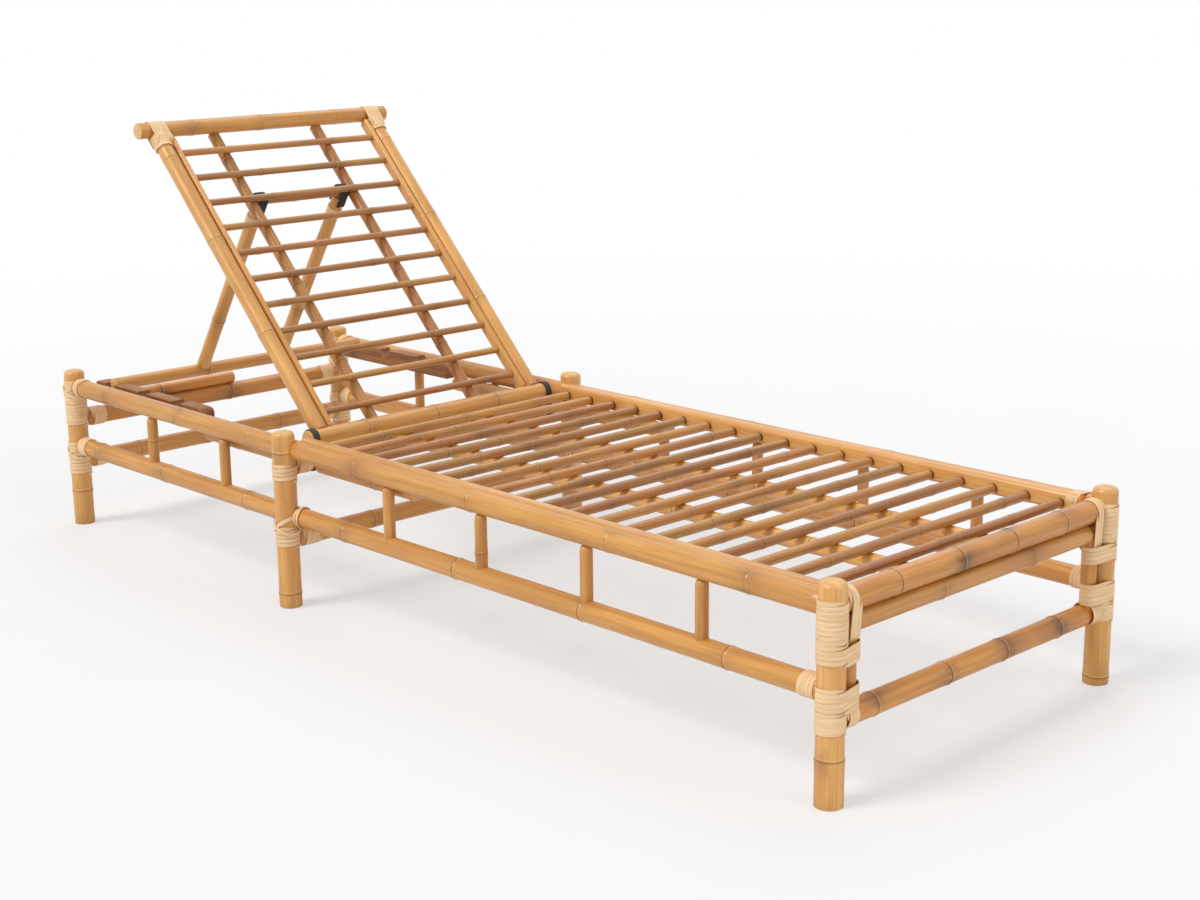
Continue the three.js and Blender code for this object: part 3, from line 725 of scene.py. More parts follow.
class StrandTree(PathTree):
    """Sweeps a flat rounded section along each line: a split strand or a strap that lies on its face."""

    # The power that flattens the round section: 1 leaves it round and 0 makes it a box.
    FLATNESS = 0.42

    def __init__(self) -> None:
        """Builds the tree."""
        inputs = {
            "Sides": ("NodeSocketInt", 12),
            "Width": ("NodeSocketFloat", 0.0073),
            "Thickness": ("NodeSocketFloat", 0.0017),
            "Finish": ("NodeSocketMaterial", None),
        }
        super().__init__("strand", inputs)
        curve = self.node("GeometryNodeMeshToCurve", {}, {"Mesh": self.given("Geometry")})
        sockets = {"Curve": curve, "Normal": self.attribute("outward", "FLOAT_VECTOR")}
        faced = self.node("GeometryNodeSetCurveNormal", {"mode": "FREE"}, sockets)
        sockets = {
            "Curve": faced,
            "Profile Curve": self.flattened(),
            "Scale": self.attribute("fullness"),
            "Fill Caps": True,
        }
        ribbon = self.node("GeometryNodeCurveToMesh", {}, sockets)
        x, y, _ = self.parts(self.attribute("rim", "FLOAT_VECTOR"))
        self.end(self.stored(ribbon, "grain", self.vector(self.attribute("along"), y, x)))

    def flattened(self) -> Value:
        """The section: a rounded box of the strand's thickness and width."""
        halves = (self.given("Thickness") * 0.5, self.given("Width") * 0.5)
        rim = self.parts(self.attribute("rim", "FLOAT_VECTOR"))
        x, y = (
            part.math("SIGN", part) * part.math("ABSOLUTE", part) ** self.FLATNESS * half
            for part, half in zip(rim, halves)
        )
        sockets = {"Geometry": self.section(), "Position": self.vector(x, y, 0.0)}
        return self.node("GeometryNodeSetPosition", {}, sockets)


# Poles.


class End(Enum):
    """How a pole ends: rows of distance from the end, share of the radius and share of cut face."""

    SAWN = ((0.0, 0.05, 1.0), (0.02, 0.9, 1.0), (0.25, 0.96, 0.8), (1.0, 1.0, 0.0))
    DOMED = (
        (0.0, 0.05, 0.5),
        (0.3, 0.4, 0.45),
        (1.2, 0.66, 0.4),
        (3.0, 0.84, 0.3),
        (5.6, 0.95, 0.2),
        (9.0, 1.0, 0.0),
    )


@dataclass(frozen=True)
class Pole:
    """One bamboo pole, in millimetres."""

    start: Point
    end: Point
    radius: float
    nodes: tuple[float, ...] = ()
    tone: float = 1.0
    ends: tuple[End, End] = (End.SAWN, End.SAWN)
    sleeve: Optional[tuple[float, float]] = None
    scar: float = 0.8
    # How deep each end sits in a socket; that length of the pole is painted with shade.
    sunk: float = 0.0

    # Rows of points lie closer together near a node, and evenly elsewhere.
    HALF_STEPS: ClassVar[tuple[float, ...]] = (0.5, 1.1, 1.7, 2.4, 3.2, 4.5, 7.0, 12.0)
    STEP: ClassVar[float] = 24.0
    LEAST_STEP: ClassVar[float] = 0.3

    # How a sleeve's edge rises and how faint the ridges are on it.
    SLEEVE_EDGE: ClassVar[float] = 3.0
    SLEEVE_RIDGE: ClassVar[float] = 0.15
    PLAIN_RIDGE: ClassVar[float] = 0.3

    # The painted shade inside a socket: how dark a pole's end is painted where it sits in a socket, and the
    # width over which it starts.
    SHADE: ClassVar[float] = 0.3
    SHADE_EDGE: ClassVar[float] = 2.0

    NO_NODE: ClassVar[float] = 1000.0

    def length(self) -> float:
        """The pole's length."""
        return (Vector(self.end) - Vector(self.start)).length

    def stations(self) -> list[tuple[float, float, float]]:
        """Rows of distance along the pole, radius and share of cut face."""
        length = self.length()
        first = list(self.ends[0].value)
        last = [(length - step, share, cut) for step, share, cut in reversed(self.ends[1].value)]
        low, high = first[-1][0], last[0][0]
        count = max(2, round((high - low) / self.STEP))
        between = {low + (high - low) * index / count for index in range(1, count)}
        steps = [way * step for step in self.HALF_STEPS for way in (-1, 1)] + [0.0]
        marks = [node * length for node in self.nodes] + ([self.sleeve[0]] if self.sleeve else [])
        between |= {mark + step for mark in marks for step in steps}
        if self.sunk:
            edges = (self.sunk, self.sunk + self.SHADE_EDGE)
            between |= {*edges, *(length - edge for edge in edges)}
        gap = self.LEAST_STEP
        inside = sorted(place for place in between if low + gap < place < high - gap)
        rows = [*first, *((place, 1.0, 0.0) for place in inside), *last]
        return [(place, share * self.girth(place), cut) for place, share, cut in rows]

    def girth(self, place: float) -> float:
        """The radius at a place along the pole, with its sleeve."""
        if not self.sleeve:
            return self.radius
        edge, extra = self.sleeve
        rise = (edge - place) / self.SLEEVE_EDGE + 0.5
        return self.radius + extra * min(1.0, max(0.0, rise))

    def shade(self, place: float) -> float:
        """How light the pole is painted at a place along it: its tone, darkened with painted shade inside a
        socket.
        """
        depth = min(place, self.length() - place)
        hidden = self.sunk > 0.0 and depth < self.sunk + self.SHADE_EDGE / 2
        return self.tone * (self.SHADE if hidden else 1.0)

    def lay(self, paths: Paths, lot: float) -> None:
        """Adds the pole's line to some paths.

        Args:
            paths: the paths.
            lot: a number that sets this pole's pattern apart.
        """
        start, end = Vector(self.start), Vector(self.end)
        length = self.length()
        rows = self.stations()
        nodes = [node * length for node in self.nodes] + ([self.sleeve[0]] if self.sleeve else [])
        nearest = [min((row[0] - node for node in nodes), key=abs, default=self.NO_NODE) for row in rows]
        plain = self.PLAIN_RIDGE
        paths.line(
            [start.lerp(end, row[0] / length) * MM for row in rows],
            along=[row[0] * MM for row in rows],
            girth=[row[1] * MM for row in rows],
            cut=[row[2] for row in rows],
            knot=[distance * MM for distance in nearest],
            near=[abs(distance) * MM for distance in nearest],
            free=[math.sin(math.pi * row[0] / length) for row in rows],
            # The tone carries the pole's own lightness and the painted shade inside its sockets.
            tone=[self.shade(row[0]) for row in rows],
            lot=[lot] * len(rows),
            scar=[self.scar] * len(rows),
            ridge=[self.SLEEVE_RIDGE if self.sleeve else plain + (1 - plain) * self.scar] * len(rows),
        )


# Strands.


def turn(steps: int) -> list[float]:
    """The angles of a whole turn in even steps, with both its ends."""
    return [math.tau * step / steps for step in range(steps + 1)]


@dataclass(frozen=True)
class Bench:
    """A place to wind at: an origin, the line that is wound round, and two directions across it."""

    origin: Vector
    across: Vector
    aside: Vector
    along: Vector

    def at(self, across: float, aside: float, along: float) -> Vector:
        """A point of the bench, in millimetres."""
        return self.origin + self.across * across + self.aside * aside + self.along * along


AXIS_X = Bench(Vector((0, 0, 0)), Vector((0, 1, 0)), Vector((0, 0, 1)), Vector((1, 0, 0)))
AXIS_Y = Bench(Vector((0, 0, 0)), Vector((1, 0, 0)), Vector((0, 0, 1)), Vector((0, 1, 0)))
AXIS_Z = Bench(Vector((0, 0, 0)), Vector((1, 0, 0)), Vector((0, 1, 0)), Vector((0, 0, 1)))


@dataclass(frozen=True)
class Winding:
    """A strand wound round one or more poles, in millimetres."""

    bench: Bench
    circles: tuple[Circle, ...]
    start: float
    turns: float
    pitch: float = 6.9
    thickness: float = 1.7
    lift: float = 0.0
    tilt: float = 0.0
    phase: float = 0.0
    stray: float = 0.16
    tone: float = 1.0

    # Points to a turn, extra ones for each further pole, and the steps that they are measured out from.
    STEPS: ClassVar[int] = 28
    MORE_STEPS: ClassVar[int] = 12
    FINE: ClassVar[int] = 240

    # A strand starts and ends this thin, and is full after as many steps.
    TIP_SHARE: ClassVar[float] = 0.25
    TIP_STEPS: ClassVar[int] = 3

    # The waves that a strand strays in: how many there are, and their range of waves to a turn.
    WAVES: ClassVar[int] = 3
    WAVE_RATES: ClassVar[tuple[float, float]] = (0.7, 2.9)

    def outline(self) -> list[tuple[Vector, Vector]]:
        """Points round the poles at even angles, each with its outward direction."""
        rays = [Vector((math.cos(angle), math.sin(angle))) for angle in turn(self.FINE)]
        reach = self.thickness / 2 + self.lift
        points = []
        for ray in rays:
            x, y, radius = max(self.circles, key=lambda c: c[0] * ray[0] + c[1] * ray[1] + c[2])
            points.append((Vector((x, y)) + ray * (radius + reach), ray))
        return points

    def ring(self) -> list[tuple[Vector, Vector]]:
        """The line of one turn: evenly spaced points round the poles, each with its outward direction."""
        fine = self.outline()
        runs = [0.0]
        for (before, _), (after, _) in zip(fine, fine[1:]):
            runs.append(runs[-1] + (after - before).length)
        steps = self.STEPS + self.MORE_STEPS * (len(self.circles) - 1)
        ring, index = [], 0
        for step in range(steps):
            wanted = runs[-1] * step / steps
            while runs[index + 1] < wanted:
                index += 1
            share = (wanted - runs[index]) / (runs[index + 1] - runs[index])
            (before, way), (after, following) = fine[index], fine[index + 1]
            ring.append((before.lerp(after, share), way.lerp(following, share).normalized()))
        return ring

    def lay(self, paths: Paths, luck: random.Random) -> None:
        """Adds the strand's line to some paths.

        Args:
            paths: the paths.
            luck: where its small irregularities come from.
        """
        points, outward, along, fullness = [], [], [], []
        ring = self.ring()
        count = max(4, round(self.turns * len(ring)))
        shift = round(self.phase / math.tau * len(ring))
        waves = [(luck.uniform(*self.WAVE_RATES), luck.uniform(0, math.tau)) for _ in range(self.WAVES)]
        run = luck.uniform(0, 3)
        for step in range(count + 1):
            turned = step / len(ring)
            angle = math.tau * turned + self.phase
            spot, ray = ring[(step + shift) % len(ring)]
            waver = sum(math.sin(rate * angle + offset) for rate, offset in waves) / len(waves)
            height = self.start + self.pitch * turned + self.tilt * math.cos(angle) + self.stray * waver
            place = self.bench.at(spot[0], spot[1], height) * MM
            run += (place - points[-1]).length if points else 0.0
            points.append(place)
            outward.append(self.bench.across * ray[0] + self.bench.aside * ray[1])
            along.append(run)
            grown = min(step, count - step) / self.TIP_STEPS
            fullness.append(min(1.0, self.TIP_SHARE + (1 - self.TIP_SHARE) * grown))
        paths.line(points, outward=outward, along=along, fullness=fullness, tone=[self.tone] * len(points))


# Pieces.


@dataclass(frozen=True)
class Piece:
    """A piece's name, its finish, the CAD nodes that it stands for and the body that it rides on."""

    name: str
    slot: Slot
    nodes: tuple[str, ...]
    body: str = "frame"


@dataclass
class Workshop:
    """What every sub-assembly makes its pieces with."""

    materials: Mapping[Slot, bpy.types.Material]
    culm: CulmTree
    strand: StrandTree
    made: list[bpy.types.Object] = field(default_factory=list)

    # Pieces share this many patterns, which lie this far apart from piece to piece and from pole to pole.
    PATTERNS: ClassVar[int] = 97
    PIECE_APART: ClassVar[float] = 0.37
    POLE_APART: ClassVar[float] = 1.13

    # A ridge's height in metres for each millimetre of radius, and the least radius that counts.
    RISE: ClassVar[float] = 0.000045
    LEAST_RADIUS: ClassVar[float] = 12.0

    # A board's softened edge: its steps, the least angle that is softened, and the angle that stays sharp.
    BEVEL_STEPS: ClassVar[int] = 3
    BEVEL_ANGLE: ClassVar[float] = math.radians(40)
    SHARP_ANGLE: ClassVar[float] = math.radians(35)
    BOARD_TONES: ClassVar[tuple[float, float]] = (0.95, 1.05)

    def keep(self, piece: Piece, mesh: bpy.types.Mesh) -> bpy.types.Object:
        """Makes a mesh a piece of the lounger.

        Args:
            piece: what the mesh is.
            mesh: the mesh.

        Returns:
            The object.
        """
        mesh.name = piece.name
        made = placed(piece.name, mesh)
        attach(made, piece.body)
        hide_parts(*piece.nodes)
        self.made.append(made)
        LOG.info("%s: %d faces on %s", piece.name, len(mesh.polygons), piece.body)
        return made

    def poles(
        self, piece: Piece, poles: Sequence[Pole], sides: int = 28, crook: float = 0.0
    ) -> bpy.types.Object:
        """Makes a piece of one or more bamboo poles.

        Args:
            piece: what they are.
            poles: the poles.
            sides: the number of faces round each pole.
            crook: how far the poles wander from straight, in metres.

        Returns:
            The object.
        """
        paths = Paths()
        name = piece.name
        seed = sum(ord(letter) * (place + 1) for place, letter in enumerate(name)) % self.PATTERNS
        for index, pole in enumerate(poles):
            pole.lay(paths, seed * self.PIECE_APART + index * self.POLE_APART)
        settings = {
            "Sides": sides,
            "Ring Rise": self.RISE * max(self.LEAST_RADIUS, poles[0].radius),
            "Crook": crook,
            "Seed": float(seed),
            "Finish": self.materials[piece.slot],
        }
        return self.keep(piece, self.culm.grow(paths, name, settings))

    def ribbons(self, piece: Piece, paths: Paths, width: float, thickness: float) -> bpy.types.Object:
        """Makes a piece of flat strands or straps along some lines.

        Args:
            piece: what they are.
            paths: the lines.
            width: the strand's width in millimetres.
            thickness: its thickness in millimetres.

        Returns:
            The object.
        """
        sizes = {"Width": width * MM, "Thickness": thickness * MM}
        settings = {**sizes, "Finish": self.materials[piece.slot]}
        return self.keep(piece, self.strand.grow(paths, piece.name, settings))

    def windings(self, piece: Piece, windings: Sequence[Winding], width: float = 7.0) -> bpy.types.Object:
        """Makes a piece of wound strands.

        Args:
            piece: what they are.
            windings: the windings, all with strands of one thickness.
            width: the strand's width in millimetres.

        Returns:
            The object.
        """
        paths = Paths()
        luck = random.Random(piece.name)
        for winding in windings:
            winding.lay(paths, luck)
        return self.ribbons(piece, paths, width, windings[0].thickness)

    def board(
        self,
        piece: Piece,
        outline: Sequence[tuple[float, float]],
        place: Callable[[float, float, float], Vector],
        depths: tuple[float, float],
        bevel: float = 1.6,
        fibre: Point = (1.0, 0.0, 0.0),
    ) -> bpy.types.Object:
        """Makes a flat board with softened edges.

        Args:
            piece: what it is.
            outline: its outline, in millimetres.
            place: turns a point of the outline and a depth into a place.
            depths: the depths of its two faces.
            bevel: the width of the softened edge.
            fibre: the direction of its fibres, at right angles to Y.

        Returns:
            The object.
        """
        shape = bmesh.new()
        rims = [[shape.verts.new(place(u, v, depth) * MM) for u, v in outline] for depth in depths]
        for rim in rims:
            shape.faces.new(rim)
        for index in range(len(outline)):
            front, back = ((rim[index - 1], rim[index]) for rim in rims)
            shape.faces.new((front[0], front[1], back[1], back[0]))
        bmesh.ops.recalc_face_normals(shape, faces=shape.faces)
        rough = placed(piece.name, bpy.data.meshes.new(piece.name))
        shape.to_mesh(rough.data)
        shape.free()
        softened = rough.modifiers.new("edge", "BEVEL")
        softened.width = bevel * MM
        softened.segments = self.BEVEL_STEPS
        softened.angle_limit = self.BEVEL_ANGLE
        mesh = plain_mesh(rough)
        mesh.materials.append(self.materials[piece.slot])
        self.mark_board(mesh, random.Random(piece.name).uniform(*self.BOARD_TONES), fibre)
        mesh.shade_smooth()
        mesh.set_sharp_from_angle(angle=self.SHARP_ANGLE)
        return self.keep(piece, mesh)

    def mark_board(self, mesh: bpy.types.Mesh, tone: float, fibre: Point) -> None:
        """Gives a board the attributes that a bamboo finish reads.

        Args:
            mesh: the board.
            tone: how light it is.
            fibre: the direction of its fibres, at right angles to Y.
        """
        plain = {"knot": FAR_AWAY, "near": FAR_AWAY, "tone": tone, "cut": 0.0, "scar": 0.0}
        for key, value in plain.items():
            values = [value] * len(mesh.vertices)
            mesh.attributes.new(key, "FLOAT", "POINT").data.foreach_set("value", values)
        ways = (Vector(fibre), Vector((0.0, 1.0, 0.0)), Vector((-fibre[2], 0.0, fibre[0])))
        grain = mesh.attributes.new("grain", "FLOAT_VECTOR", "POINT")
        grain.data.foreach_set("vector", [vertex.co.dot(way) for vertex in mesh.vertices for way in ways])


def arc(centre: tuple[float, float], radius: float, start: float, end: float, count: int) -> list:
    """Points on an arc.

    Args:
        centre: its centre.
        radius: its radius.
        start: the first angle in degrees.
        end: the last angle.
        count: the number of steps.

    Returns:
        The points.
    """
    angles = (math.radians(start + (end - start) * step / count) for step in range(count + 1))
    return [(centre[0] + radius * math.cos(angle), centre[1] + radius * math.sin(angle)) for angle in angles]


def rectangle(across: tuple[float, float], up: tuple[float, float]) -> list[tuple[float, float]]:
    """The corners of a rectangle between two places each way."""
    return [(across[0], up[0]), (across[1], up[0]), (across[1], up[1]), (across[0], up[1])]


def upright(u: float, v: float, depth: float) -> Vector:
    """The place of a point on a board that stands along the lounger, at a depth across it."""
    return Vector((u, depth, v))


# The frame.


@dataclass(frozen=True)
class PostPlace:
    """Where a post stands, its nodes as shares of its height, and how light it is."""

    end: str
    side: str
    x: float
    y: float
    nodes: tuple[float, ...]
    tone: float


@dataclass(frozen=True)
class Rail:
    """A rail's height and radius."""

    z: float
    radius: float

    def section(self, place: float) -> Circle:
        """The circle that a strand is wound round, at a place across the rail."""
        return (place, self.z, self.radius)


@dataclass(frozen=True)
class LowFrame:
    """Six posts, the rails between them, the balusters and the splices."""

    half_length: float = 980.0
    half_width: float = 326.5
    middle_x: float = -235.4
    middle_y: float = 342.3
    hinge_x: float = -243.3
    foot_x: float = 975.0
    post_radius: float = 20.0
    post_height: float = 319.0
    sleeve: tuple[float, float] = (69.0, 0.6)
    side: Rail = Rail(284.0, 17.5)
    low: Rail = Rail(164.0, 17.0)
    rail_gap: float = 4.0
    foot_upper: Rail = Rail(283.0, 18.5)
    foot_second: Rail = Rail(249.2, 15.0)
    foot_low: Rail = Rail(119.0, 17.0)
    head_upper: Rail = Rail(218.0, 17.5)
    head_low: Rail = Rail(131.0, 17.0)
    middle_upper: Rail = Rail(252.5, 17.0)
    middle_low: Rail = Rail(122.0, 16.0)
    cross_reach: float = 321.5
    upper_reach: float = 322.5
    middle_reach: float = 322.0
    baluster_radius: float = 10.0
    baluster_shares: tuple[float, ...] = (0.1468, 0.2723, 0.5193, 0.6384, 0.7609, 0.8806)
    into_side: float = 16.8
    into_low: float = 12.0
    stop: Rail = Rail(247.0, 12.0)
    stop_y: tuple[float, float] = (-255.0, 45.0)
    spacer_x: float = 979.0
    spacer_y: float = 292.1
    spacer_z: tuple[float, float] = (119.0, 249.0)
    spacer_radius: float = 12.5
    splice: Rail = Rail(258.0, 14.0)
    splice_y: float = 299.5
    splice_reach: tuple[float, float] = (300.0, 315.0)
    splice_gap: tuple[float, float] = (10.0, 58.0)
    side_crook: float = 0.0012
    cross_crook: float = 0.0008

    # The random draws: their seed, the tones of rails and balusters, and where a baluster's node lies.
    SEED: ClassVar[int] = 11
    RAIL_TONES: ClassVar[tuple[float, float]] = (0.94, 1.06)
    BALUSTER_TONES: ClassVar[tuple[float, float]] = (0.88, 1.1)
    BALUSTER_NODE: ClassVar[tuple[float, float]] = (0.25, 0.75)
    BALUSTERS_PLAIN: ClassVar[float] = 0.75

    def posts(self) -> tuple[PostPlace, ...]:
        """The six posts."""
        x, y = self.half_length, self.half_width
        return (
            PostPlace("head", "near", -x, -y, (0.22,), 1.0),
            PostPlace("head", "far", -x, y, (0.18,), 0.94),
            PostPlace("middle", "near", self.middle_x, -self.middle_y, (0.08, 0.88), 1.04),
            PostPlace("middle", "far", self.middle_x, self.middle_y, (0.13,), 0.96),
            PostPlace("foot", "near", x, -y, (), 1.05),
            PostPlace("foot", "far", x, y, (0.04,), 1.0),
        )

    def build_posts(self, shop: Workshop) -> None:
        """Makes the posts."""
        for post in self.posts():
            name = f"{post.end}_{post.side}"
            pole = Pole(
                (post.x, post.y, 0.0),
                (post.x, post.y, self.post_height),
                self.post_radius,
                post.nodes,
                post.tone,
                (End.SAWN, End.DOMED),
                self.sleeve if name == "foot_near" else None,
            )
            shop.poles(Piece(f"bamboo_post_{name}", Slot.POST, (f"post_{name}",)), [pole], sides=32)

    def build_sides(self, shop: Workshop) -> None:
        """Makes what runs or stands along the two sides."""
        luck = random.Random(self.SEED)
        for side, sign in SIDES:
            y = sign * self.half_width
            self.build_rails(shop, side, y, luck)
            self.build_balusters(shop, side, y, luck)
            self.build_splices(shop, side, sign * self.splice_y)

    def build_rails(self, shop: Workshop, side: str, y: float, luck: random.Random) -> None:
        """Makes the two rails of a side.

        Args:
            shop: what makes the pieces.
            side: the side's name.
            y: its place across.
            luck: where each rail's tone comes from.
        """
        reach = self.half_length - self.rail_gap
        rails = (
            ("side_rail", self.side, (0.07, 0.2, 0.32, 0.48, 0.63, 0.79, 0.93), 0.35),
            ("low_rail", self.low, (0.045, 0.17, 0.31, 0.46, 0.61, 0.76, 0.91), 0.75),
        )
        for kind, rail, nodes, scar in rails:
            ends = ((-reach, y, rail.z), (reach, y, rail.z))
            pole = Pole(*ends, rail.radius, nodes, luck.uniform(*self.RAIL_TONES), scar=scar)
            name = f"{kind}_{side}"
            piece = Piece(f"bamboo_{name}", Slot.RAIL, (name,))
            shop.poles(piece, [pole], sides=32, crook=self.side_crook)

    def build_balusters(self, shop: Workshop, side: str, y: float, luck: random.Random) -> None:
        """Makes the balusters of a side.

        Args:
            shop: what makes the pieces.
            side: the side's name.
            y: its place across.
            luck: where their nodes and tones come from.
        """
        balusters = []
        for share in self.baluster_shares:
            x = (2 * share - 1) * self.half_length
            ends = ((x, y, self.low.z + self.into_low), (x, y, self.side.z - self.into_side))
            noded = luck.random() > self.BALUSTERS_PLAIN
            nodes = (luck.uniform(*self.BALUSTER_NODE),) if noded else ()
            tone = luck.uniform(*self.BALUSTER_TONES)
            kinds = (End.SAWN, End.DOMED)
            balusters.append(Pole(*ends, self.baluster_radius, nodes, tone, kinds, scar=0.5))
        names = tuple(f"baluster_{side}_{index + 1}" for index in range(len(balusters)))
        shop.poles(Piece(f"bamboo_balusters_{side}", Slot.RAIL, names), balusters, sides=24)

    def build_splices(self, shop: Workshop, side: str, y: float) -> None:
        """Makes the splice poles of a side, on both sides of the hinge pole.

        Args:
            shop: what makes the pieces.
            side: the side's name.
            y: their place across.
        """
        z, radius = self.splice.z, self.splice.radius
        head, seat = self.middle_x - self.splice_reach[0], self.hinge_x + self.splice_gap[1]
        back, foot = self.hinge_x - self.splice_gap[0], self.middle_x + self.splice_reach[1]
        splices = [
            Pole((head, y, z), (back, y, z), radius, (0.35,), 0.96),
            Pole((seat, y, z), (foot, y, z), radius, (0.6,), 1.02),
        ]
        names = (f"splice_head_{side}", f"splice_foot_{side}")
        shop.poles(Piece(f"bamboo_splices_{side}", Slot.RAIL, names), splices, sides=24)

    def build_ends(self, shop: Workshop) -> None:
        """Makes the cross rails, the stop pole and the spacers."""
        head, foot = -self.half_length, self.foot_x
        inner, wide, middle = self.cross_reach, self.upper_reach, self.middle_reach
        rails = (
            ("foot_rail_upper", Slot.DARK, self.foot_upper, foot, wide, (0.2, 0.42, 0.62, 0.82), 1.0),
            ("foot_rail_second", Slot.RAIL, self.foot_second, foot, inner, (0.36, 0.7), 0.95),
            ("foot_rail_low", Slot.DARK, self.foot_low, foot, inner, (0.13, 0.39, 0.6, 0.82), 1.12),
            ("head_rail_upper", Slot.DARK, self.head_upper, head, inner, (0.28, 0.55, 0.8), 1.0),
            ("head_rail_low", Slot.RAIL, self.head_low, head, inner, (0.2, 0.46, 0.74), 1.0),
            ("middle_rail_low", Slot.RAIL, self.middle_low, self.middle_x, middle, (0.25, 0.6), 1.0),
            ("middle_rail_upper", Slot.RAIL, self.middle_upper, self.hinge_x, middle, (0.3, 0.66), 0.95),
        )
        for name, slot, rail, x, reach, nodes, tone in rails:
            pole = Pole((x, -reach, rail.z), (x, reach, rail.z), rail.radius, nodes, tone)
            shop.poles(Piece(f"bamboo_{name}", slot, (name,)), [pole], crook=self.cross_crook)
        ends = ((head, y, self.stop.z) for y in self.stop_y)
        stop = Pole(*ends, self.stop.radius, (0.4,), 1.1)
        shop.poles(Piece("bamboo_stop_pole", Slot.DARK, ("head_rail_upper",)), [stop], sides=20)
        for side, sign in SIDES:
            ends = ((self.spacer_x, sign * self.spacer_y, z) for z in self.spacer_z)
            pole = Pole(*ends, self.spacer_radius, (), 0.95)
            name = f"spacer_post_{side}"
            shop.poles(Piece(f"bamboo_{name}", Slot.DARK, (name,)), [pole], sides=24)

    def build(self, shop: Workshop) -> None:
        """Makes every pole of the frame."""
        self.build_posts(shop)
        self.build_sides(shop)
        self.build_ends(shop)


@dataclass(frozen=True)
class Wrap:
    """Turns at a rail's end: how far past the lashing's inner edge they start, and how many there are."""

    past: float
    turns: float


